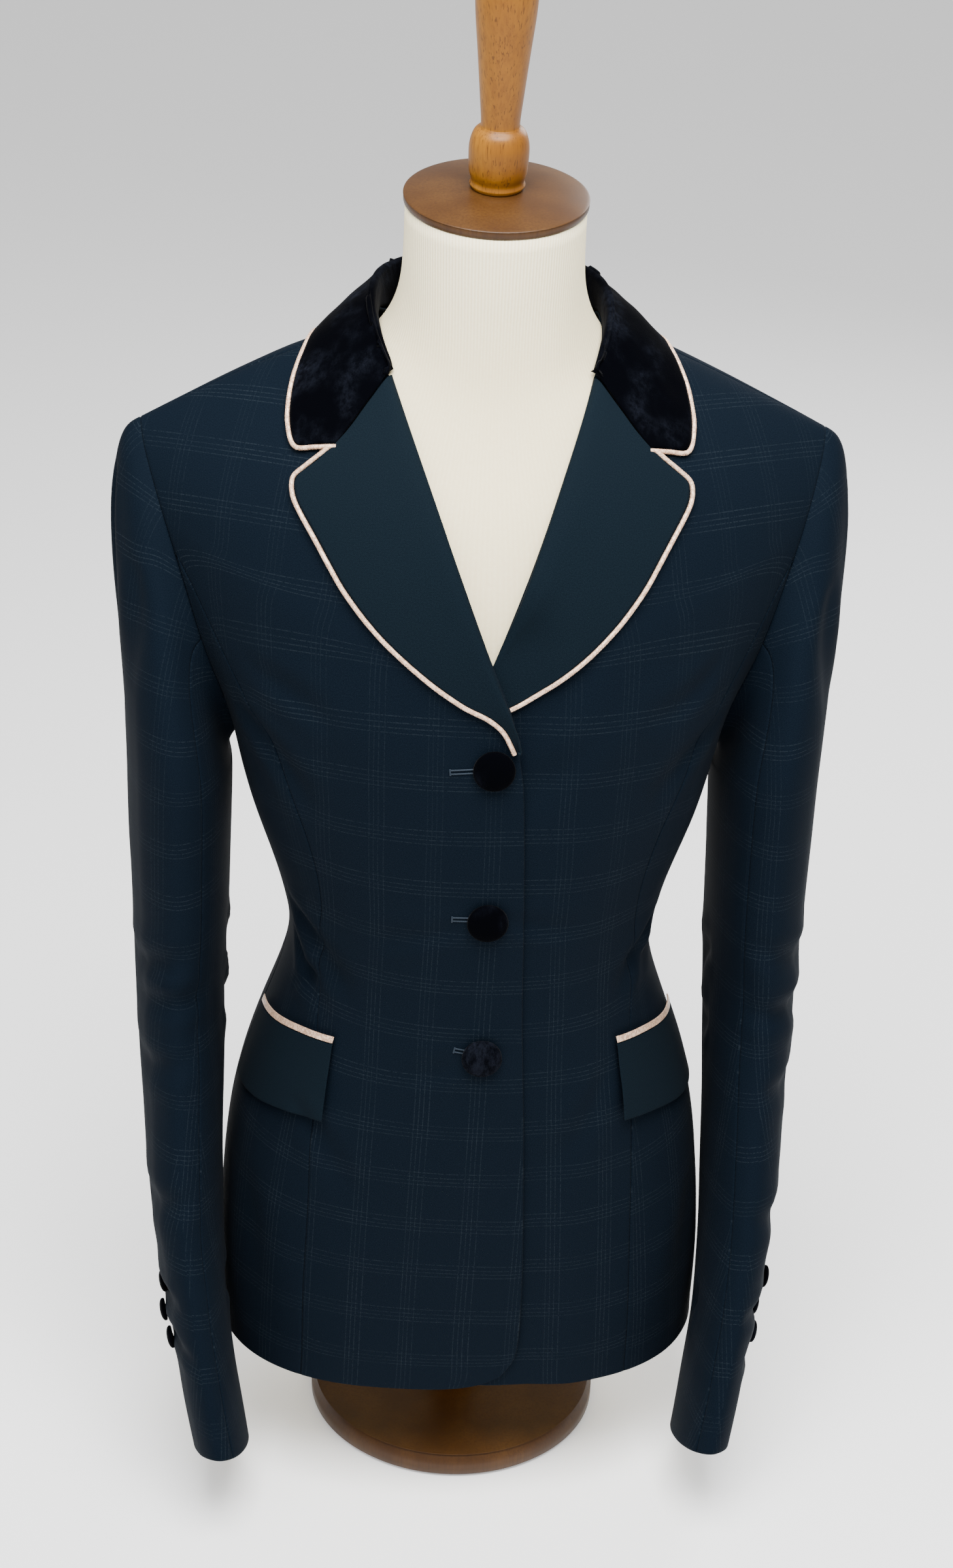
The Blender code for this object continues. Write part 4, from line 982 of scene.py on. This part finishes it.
def roll_edge(mesh, side):
    """Extends the edge along the roll line outwards and then under."""
    bm = bmesh.new()
    bm.from_mesh(mesh)
    bm.normal_update()
    rows = sheet_rows(bm)
    chains = [rows[0], rows[-1], [row[0] for row in rows], [row[-1] for row in rows]]
    chains = sorted(chains, key=lambda chain: -abs(chain[0].co.z - chain[-1].co.z))[:2]
    roll = min(chains, key=lambda chain: np.mean([vert.co.x * side for vert in chain]))
    edges = [edge for edge in bm.edges if edge.is_boundary and set(edge.verts) <= set(roll)]
    ways = {}
    for vert in roll:
        inward = [edge.other_vert(vert) for edge in vert.link_edges if edge.other_vert(vert) not in roll]
        ways[vert] = ((vert.co - inward[0].co).normalized(), vert.normal.copy())
    extend_edge(bm, edges, ways, ROLL_UNDER)
    bmesh.ops.recalc_face_normals(bm, faces=bm.faces[:])
    bm.to_mesh(mesh)
    bm.free()


for hand, side in (("right", -1), ("left", 1)):
    node = f"{hand}_lapel"
    lapel = single_sheet(node, node + "_cloth")
    press(lapel.data, body_relief(points_of(lapel.data)))
    roll_edge(lapel.data, side)
    pieces[node] = finish_piece(lapel, lapel_wool, (node,), LAPEL_THICKNESS)

# %% [markdown]
# The collar is one piece of velvet: a stand at the neck that folds over into the fall. Velvet is
# thick and soft, so its surface undulates a little where the pile is crushed.

# %% Collar
VELVET_THICKNESS = 0.0016
VELVET_WAVE = 0.0005
VELVET_WAVE_SIZE = 0.012

collar = single_sheet("collar", "collar_velvet")
collar_points = points_of(collar.data)
waves = np.array([noise.noise(Vector(point) / VELVET_WAVE_SIZE) for point in collar_points])
press(collar.data, waves * VELVET_WAVE)
pieces["collar"] = finish_piece(collar, black_velvet, ("collar",), VELVET_THICKNESS)

# %% [markdown]
# Flaps hang over the pocket openings. Each is a firm little sheet that stands off the skirt at its
# front corner. Above it, a strip of leather finishes the pocket's mouth. Both are made the same way,
# each with its own crown, which is how far its middle stands up, and its own edge and thickness.

# %% Pocket flaps and their strips
FLAP_MAKE = {"crown": 0.0, "sink": 0.0004, "edge": 0.0009, "thickness": 0.0014}
STRIP_MAKE = {"crown": 0.0005, "sink": 0.0005, "edge": 0.0008, "thickness": 0.0010}


def pocket_piece(node, name, make, material):
    obj = single_sheet(node, name)
    press(obj.data, body_relief(points_of(obj.data)) - make["crown"])
    sink_border(obj.data, make["sink"], make["edge"])
    pieces[node] = finish_piece(obj, material, (node,), make["thickness"])


for hand in ("right", "left"):
    node = f"{hand}_flap"
    pocket_piece(node, node + "_cloth", FLAP_MAKE, lapel_wool)
    node = f"{hand}_pocket_piping"
    pocket_piece(node, node + "_leather", STRIP_MAKE, rose_leather)

# %% [markdown]
# Piping is a narrow bias strip folded over a cord and caught in the edge seam. A bevelled curve gives
# an even tube, and a little noise makes it lie as hand-sewn leather does. Its path is the middle line
# of the solid bead, found ring by ring, and at the notch both beads run on until they meet. The noise is
# given a seed, because Blender would otherwise draw a new one in each run.

# %% Piping
PIPING_RADIUS = 0.00145
BEAD_WIDTH = 0.0029
PIPING_SIDES = 14
PIPING_STEP = 0.0022
PIPING_WOBBLE = 0.00012
WOBBLES_PER_METRE = 90
WOBBLE_SEED = 7
NOTCH_REACH = 0.0050
CURVE_PARTS = 8


def middle_line(node):
    """The middle of each ring of a bead, from one end to the other."""
    bm = merged_copy(node)
    bm.verts.index_update()
    places = [vert.co.copy() for vert in bm.verts]
    linked = [{edge.other_vert(vert).index for edge in vert.link_edges} for vert in bm.verts]
    bm.free()

    def rings_from(ring):
        rings, seen = [], set()
        while ring:
            rings.append(ring)
            seen |= ring
            ring = set().union(*(linked[index] for index in ring)) - seen
        return rings

    end = next(iter(rings_from({0})[-1]))
    cap = {index for index, place in enumerate(places) if (place - places[end]).length < BEAD_WIDTH}
    return [sum((places[index] for index in ring), Vector()) / len(ring) for ring in rings_from(cap)]


def curve_between(here, there, leave, arrive, f):
    """The point at a share f of the smooth curve between two points."""
    return (
        (2 * f**3 - 3 * f**2 + 1) * here + (f**3 - 2 * f**2 + f) * leave
        + (3 * f**2 - 2 * f**3) * there + (f**3 - f**2) * arrive
    )


def even_line(points, step):
    """The same line as a smooth curve with even steps."""
    fine = []
    for k in range(len(points) - 1):
        before = points[max(k - 1, 0)]
        here, there = points[k], points[k + 1]
        after = points[min(k + 2, len(points) - 1)]
        leave, arrive = (there - before) / 2, (after - here) / 2
        for part in range(CURVE_PARTS):
            fine.append(curve_between(here, there, leave, arrive, part / CURVE_PARTS))
    fine.append(points[-1])
    fine = np.array(fine)
    run = np.concatenate(([0], np.cumsum(np.linalg.norm(np.diff(fine, axis=0), axis=1))))
    count = max(2, round(run[-1] / step))
    at = np.linspace(0, run[-1], count + 1)
    return np.column_stack([np.interp(at, run, fine[:, k]) for k in range(3)])


def bead(name, line, radius, material, slot, nodes=()):
    curve = bpy.data.curves.new(name, "CURVE")
    curve.dimensions = "3D"
    curve.bevel_depth = radius
    curve.bevel_resolution = PIPING_SIDES // 4
    curve.use_fill_caps = True
    run = curve.splines.new("POLY")
    run.points.add(len(line) - 1)
    for point, place in zip(run.points, line):
        point.co = (*place, 1.0)
    guide = add_object(name + "_guide", curve)
    mesh = bpy.data.meshes.new_from_object(as_modified(guide))
    bpy.data.objects.remove(guide)
    bpy.data.curves.remove(curve)
    return finish_piece(add_object(name, mesh), material, nodes, 0)


def run_on(line):
    """The line, longer at its end by the reach to the notch."""
    way = (line[-1] - line[-2]).normalized()
    return line + [line[-1] + way * NOTCH_REACH]


def piping(node, line):
    path = even_line(line, PIPING_STEP)
    wobble = np.array([noise.noise_vector(Vector(point) * WOBBLES_PER_METRE) for point in path])
    path = path + wobble * PIPING_WOBBLE
    leather = (rose_leather, "rose_champagne_leather")
    pieces[node] = bead(node + "_bead", path, PIPING_RADIUS, *leather, (node,))
    print(node, "runs", round(len(path) * PIPING_STEP, 3), "m")


noise.seed_set(WOBBLE_SEED)
for hand in ("right", "left"):
    line = middle_line(f"{hand}_lapel_piping")
    if line[0].z > line[-1].z:
        line.reverse()
    piping(f"{hand}_lapel_piping", run_on(line))
line = run_on(middle_line("collar_piping"))[::-1]
piping("collar_piping", run_on(line)[::-1])

# %% [markdown]
# A turned shape is a profile spun round an axis. The profile is read back from the solid, smoothed
# and spun again with many more steps. Covered buttons are turned too: a low dome of velvet drawn
# over a form, with its rim tucked under.

# %% Turned pieces
RING_STEP = 0.00025
SAME_PLACE = 1e-6
SMOOTH_ANGLE = math.radians(50)
PROFILE_CORNER = math.radians(35)
PROFILE_PARTS = 6


def profile_of(node, origin, axis):
    """Radius and height of each ring of a turned solid, from its foot to its top."""
    rings = []
    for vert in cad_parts[node].data.vertices:
        apart = vert.co - origin
        height = apart.dot(axis)
        ring = Vector(((apart - axis * height).length, height))
        if all((ring - other).length > RING_STEP for other in rings):
            rings.append(ring)
    low = min(ring.y for ring in rings) + RING_STEP
    high = max(ring.y for ring in rings) - RING_STEP
    foot = sorted((ring for ring in rings if ring.y < low), key=lambda ring: ring.x)
    top = sorted((ring for ring in rings if ring.y > high), key=lambda ring: -ring.x)
    sides = sorted((ring for ring in rings if low <= ring.y <= high), key=lambda ring: ring.y)
    profile = [tuple(ring) for ring in foot + sides + top]
    if foot[0].x > RING_STEP:
        profile.insert(0, (0.0, foot[0].y))
    if top[-1].x > RING_STEP:
        profile.append((0.0, top[-1].y))
    return profile


def spun(name, profile, origin, axis, steps, material, nodes):
    bm = bmesh.new()
    verts = [bm.verts.new((radius, 0.0, height)) for radius, height in profile]
    edges = [bm.edges.new(pair) for pair in zip(verts, verts[1:])]
    bmesh.ops.spin(
        bm, geom=verts + edges, cent=(0, 0, 0), axis=(0, 0, 1), angle=2 * math.pi, steps=steps,
        use_merge=True, use_duplicate=False,
    )
    bmesh.ops.remove_doubles(bm, verts=bm.verts[:], dist=SAME_PLACE)
    bmesh.ops.recalc_face_normals(bm, faces=bm.faces[:])
    turn = axis.to_track_quat("Z", "Y").to_matrix().to_4x4()
    bmesh.ops.transform(bm, matrix=Matrix.Translation(origin) @ turn, verts=bm.verts[:])
    obj = object_of(name, bm)
    finish_piece(obj, material, nodes, 0)
    obj.data.set_sharp_from_angle(angle=SMOOTH_ANGLE)
    return obj


def round_profile(profile, parts=PROFILE_PARTS, sharp=PROFILE_CORNER):
    """A smoother profile: curved where its corners are shallow, and kept where they are sharp."""
    points = [Vector((radius, height, 0)) for radius, height in profile]
    corners = {0, len(points) - 1}
    for k in range(1, len(points) - 1):
        if (points[k] - points[k - 1]).angle(points[k + 1] - points[k]) > sharp:
            corners.add(k)
    fine = []
    for k in range(len(points) - 1):
        here, there = points[k], points[k + 1]
        leave = there - here if k in corners else (there - points[k - 1]) / 2
        arrive = there - here if k + 1 in corners else (points[k + 2] - here) / 2
        if k in corners and k + 1 in corners:
            fine.append(here)
            continue
        for part in range(parts):
            fine.append(curve_between(here, there, leave, arrive, part / parts))
    fine.append(points[-1])
    return [(max(point.x, 0.0), point.y) for point in fine]


NECK_TILT = math.radians(10.6)
FOOT_DEPTH = 1e-4
UP = Vector((0, 0, 1))
NECK_AXIS = Vector((0, -math.sin(NECK_TILT), math.cos(NECK_TILT)))


def foot_of(node, axis):
    """The middle of a turned solid's foot."""
    points = np.array([vert.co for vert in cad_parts[node].data.vertices])
    heights = points @ np.array(axis)
    low = points[heights < heights.min() + FOOT_DEPTH]
    return Vector((low.min(axis=0) + low.max(axis=0)) / 2)


TURNED = (
    ("neck_cap", NECK_AXIS, 96, brown_wood), ("neck_handle", NECK_AXIS, 72, honey_wood),
    ("stand_post", UP, 64, brown_wood), ("stand_base", UP, 128, brown_wood),
)
for node, axis, steps, wood in TURNED:
    foot = foot_of(node, axis)
    profile = round_profile(profile_of(node, foot, axis))
    pieces[node] = spun(node + "_turned", profile, foot, axis, steps, wood, (node,))
    print(node, len(profile), "rings")

# %% [markdown]
# The covered buttons follow the same way. Each has its own axis, square to the cloth below it, which
# is found from the flat back of its solid. A button lies in the crease of its pull, so it moves in
# with the cloth. The lowest front button's pile is the most crushed, and more painted sheen lightens it.

# %% Covered buttons
SHANK = 0.0004
SHANK_SHARE = 0.30
REACH = 0.02
BUTTON_STEPS = 48
BUTTON_PARTS = 5
BUTTON_CORNER = math.radians(80)


def back_of(node):
    """The middle and the outward direction of a button's flat back."""
    bm = merged_copy(node)
    groups = {}
    for face in bm.faces:
        key = tuple(round(value, 1) for value in face.normal)
        groups.setdefault(key, []).append(face)
    flat = max(groups.values(), key=area_of)
    normal = -sum((face.normal * face.calc_area() for face in flat), Vector()).normalized()
    points = np.array([vert.co for face in flat for vert in face.verts])
    centre = Vector((points.min(axis=0) + points.max(axis=0)) / 2)
    bm.free()
    return centre, normal


def lies_on(cloth, centre, normal):
    """The place on a piece of cloth right below a button."""
    bpy.context.view_layer.update()
    hit, place, _, _ = cloth.ray_cast(centre + normal * REACH, -normal)
    return place if hit else centre


buttons = {f"front_button_{number}": "right_front" for number in (1, 2, 3)}
for hand in ("right", "left"):
    buttons.update({f"{hand}_cuff_button_{number}": f"{hand}_top_sleeve" for number in (1, 2, 3)})
for node, below in buttons.items():
    centre, normal = back_of(node)
    place = lies_on(pieces[below], centre, normal)
    profile = profile_of(node, centre, normal)
    radius = max(ring[0] for ring in profile)
    profile = round_profile(profile, BUTTON_PARTS, BUTTON_CORNER)
    shank = [(0.0, -SHANK), (radius * SHANK_SHARE, -SHANK), (radius * SHANK_SHARE, 0.0)]
    profile = shank + [ring for ring in profile if ring[0] > 0.0 or ring[1] > 0.0]
    place = place + normal * SHANK
    # the lowest front button gets the velvet with more painted sheen
    velvet = crushed_sheen_velvet if node == "front_button_3" else black_velvet
    pieces[node] = spun(
        node + "_covered", profile, place, normal, BUTTON_STEPS, velvet, (node,)
    )
    print(node, "moved by", round((place - centre).length * 1000, 1), "mm")

# %% [markdown]
# Each front button passes through a worked buttonhole in the right front. Its far end is hidden by the
# button. Close stitches run along both lips of the slit, and a bar closes its end. The lips are two
# ropes of thread laid on the cloth: a ray from the front finds the cloth's surface under each point.

# %% Worked buttonholes
HOLES = (
    (-0.0236, -0.0080, 0.5437, 0.5449),
    (-0.0194, -0.0060, 0.4453, 0.4452),
    (-0.0151, -0.0050, 0.3524, 0.3502),
)
LIP_APART = 0.0011
LIP_RADIUS = 0.00050
BAR_RADIUS = 0.00060
LIP_POINTS = 48
STITCH_WAVE = 0.00014
BAR_REACH = 1.9
BAR_POINTS = (-1, -0.3, 0.3, 1)
RAY_START = -0.5
LIFT = 0.0002


def on_cloth(piece, across, height):
    """The place on a piece of cloth that is seen from the front at this place."""
    bpy.context.view_layer.update()
    _, place, normal, _ = piece.ray_cast(Vector((across, RAY_START, height)), Vector((0, 1, 0)))
    return place + normal * LIFT


for number, (start, end, start_height, end_height) in enumerate(HOLES, 1):
    corner = Vector((start, 0, start_height))
    slit = Vector((end, 0, end_height)) - corner
    beside = Vector((-slit.z, 0, slit.x)).normalized()
    for lip, way in (("upper", 1), ("lower", -1)):
        line = []
        for k in range(LIP_POINTS):
            share = k / (LIP_POINTS - 1)
            wave = STITCH_WAVE * (k % 2)
            spot = corner + slit * share + beside * way * (LIP_APART + wave)
            line.append(on_cloth(pieces["right_front"], spot.x, spot.z))
        bead(f"buttonhole_{number}_{lip}_lip", line, LIP_RADIUS, navy_thread, None)
    ends = [corner + beside * way * LIP_APART * BAR_REACH for way in BAR_POINTS]
    bar = [on_cloth(pieces["right_front"], spot.x, spot.z) for spot in ends]
    bead(f"buttonhole_{number}_bar", bar, BAR_RADIUS, navy_thread, None)
print(len(HOLES), "buttonholes")

# %% [markdown]
# The torso is a padded form under a jersey cover. It is one smooth closed shape. Its layout goes round
# the neck, so that the ribs stand upright.

# %% Torso
TORSO_LEVELS = 2
TORSO_SMOOTHING = 10
NECK_BASE = (0.690, 0.806)
NECK_RADIUS = 0.053
torso_bm = merged_copy("form_torso")
bmesh.ops.join_triangles(
    torso_bm, faces=torso_bm.faces[:], angle_face_threshold=math.pi, angle_shape_threshold=math.pi,
    topology_influence=1.5,
)
neck_base = [vert for vert in torso_bm.verts if NECK_BASE[0] < vert.co.z < NECK_BASE[1]]
for _ in range(TORSO_SMOOTHING):
    bmesh.ops.smooth_vert(
        torso_bm, verts=neck_base, factor=0.5, use_axis_x=True, use_axis_y=True, use_axis_z=True,
    )
crease = torso_bm.edges.layers.float.new("crease_edge")
for edge in torso_bm.edges:
    edge[crease] = 1.0 if edge.calc_face_angle() > RIM_ANGLE else 0.0
torso = object_of("form_torso_jersey", torso_bm)
round_off = torso.modifiers.new("smooth", "SUBSURF")
round_off.levels = round_off.render_levels = TORSO_LEVELS
torso.data = bpy.data.meshes.new_from_object(as_modified(torso))
torso.modifiers.clear()


def wrap_layout(mesh):
    """A layout that goes once round the body, in metres."""
    layer = mesh.uv_layers.get(CLOTH_MAP) or mesh.uv_layers.new(name=CLOTH_MAP)
    for face in mesh.polygons:
        turns = []
        for index in face.loop_indices:
            place = mesh.vertices[mesh.loops[index].vertex_index].co
            turns.append(math.atan2(place.x, -(place.y - BODY_AXIS.y)))
        if max(turns) - min(turns) > math.pi:
            turns = [turn + 2 * math.pi if turn < 0 else turn for turn in turns]
        for index, turn in zip(face.loop_indices, turns):
            place = mesh.vertices[mesh.loops[index].vertex_index].co
            layer.data[index].uv = (turn * NECK_RADIUS, place.z)


wrap_layout(torso.data)
finish_piece(torso, cream_jersey, ("form_torso",), 0)
torso.data.set_sharp_from_angle(angle=SMOOTH_ANGLE)
pieces["form_torso"] = torso
print("torso", len(torso.data.polygons), "faces")

# %% [markdown]

# %% [markdown]
# The part stands on a wide floor of pale paper. The paper has a little glow of its own, so that it
# stays pale behind a dark coat and lights the underside of the skirt.

# %% Floor
FLOOR_SIZE = 40.0
FLOOR_GLOW = 0.35
PAPER_PATCH = 0.8
PAPER_TONES = ((0.95, 0.95, 0.95), (0.97, 0.97, 0.97))
floor_bm = bmesh.new()
bmesh.ops.create_grid(floor_bm, x_segments=1, y_segments=1, size=FLOOR_SIZE / 2)
floor = object_of("floor", floor_bm)
paper = Finish("pale_floor", roughness=0.9, specular=0.1)
paper.colour(paper.blend(paper.cloudy(paper.object_place(), PAPER_PATCH), *PAPER_TONES))
paper.set(Emission_Color=(1.0, 1.0, 1.0), Emission_Strength=FLOOR_GLOW)
floor.data.materials.append(paper.material)
print("floor", FLOOR_SIZE, "m wide")

# %% [markdown]
# The coat is so dark that its shape shows only by soft light, and a pale world fills the shadows. The
# strongest of four area lights stands above the chest. One behind gives an edge to the shoulders and
# the cap, and two weak ones light the sides.

# %% Lights
LIGHTS = (
    ("key_light", (-1.1, -1.2, 2.1), 1.0, 14.0),
    ("fill_light", (1.5, -1.1, 1.8), 1.2, 4.0),
    ("top_light", (0.0, -0.65, 1.95), 1.2, 92.0),
    ("back_light", (1.3, 1.8, 1.7), 1.2, 34.0),
)
AIM = Vector((0.0, 0.0, 0.5))
WORLD_LIGHT = 0.6
for name, place, size, power in LIGHTS:
    light = bpy.data.lights.new(name, "AREA")
    light.size = size
    light.energy = power
    lamp = add_object(name, light)
    lamp.location = place
    lamp.rotation_euler = (AIM - Vector(place)).to_track_quat("-Z", "Y").to_euler()

world = bpy.data.worlds.new("studio")
world.use_nodes = True
backdrop = world.node_tree.nodes["Background"]
backdrop.inputs["Color"].default_value = (1.0, 1.0, 1.0, 1.0)
backdrop.inputs["Strength"].default_value = WORLD_LIGHT
bpy.context.scene.world = world
print(len(LIGHTS), "lights")

# %% [markdown]
# The camera stands where the photograph was taken from. Its place, turn, tilt and lens were fitted to
# known lengths on the coat, so the same points fall on the same places of the picture.

# %% Camera
CAMERA_YAW = math.radians(4.47)
CAMERA_PITCH = math.radians(25.23)
CAMERA_ROLL = math.radians(2.20)
CAMERA_DISTANCE = 1.487
CAMERA_HEIGHT = 1.178
CAMERA_ASIDE = 0.0018
LENS = 58.98
SENSOR = 36.0
right_way = Vector((math.cos(CAMERA_YAW), -math.sin(CAMERA_YAW), 0))
look = Vector((
    math.sin(CAMERA_YAW) * math.cos(CAMERA_PITCH), math.cos(CAMERA_YAW) * math.cos(CAMERA_PITCH),
    -math.sin(CAMERA_PITCH),
))
up_way = right_way.cross(look)
rolled_right = right_way * math.cos(CAMERA_ROLL) + up_way * math.sin(CAMERA_ROLL)
rolled_up = up_way * math.cos(CAMERA_ROLL) - right_way * math.sin(CAMERA_ROLL)
camera_data = bpy.data.cameras.new("camera")
camera_data.lens = LENS
camera_data.sensor_width = SENSOR
camera = add_object("camera", camera_data)
turned = Matrix((rolled_right, rolled_up, -look)).transposed().to_4x4()
spot = right_way * CAMERA_ASIDE + Vector((
    -math.sin(CAMERA_YAW) * CAMERA_DISTANCE,
    -math.cos(CAMERA_YAW) * CAMERA_DISTANCE + BODY_AXIS.y,
    CAMERA_HEIGHT,
))
camera.matrix_world = Matrix.Translation(spot) @ turned
bpy.context.scene.camera = camera
print("camera at", [round(value, 3) for value in spot])
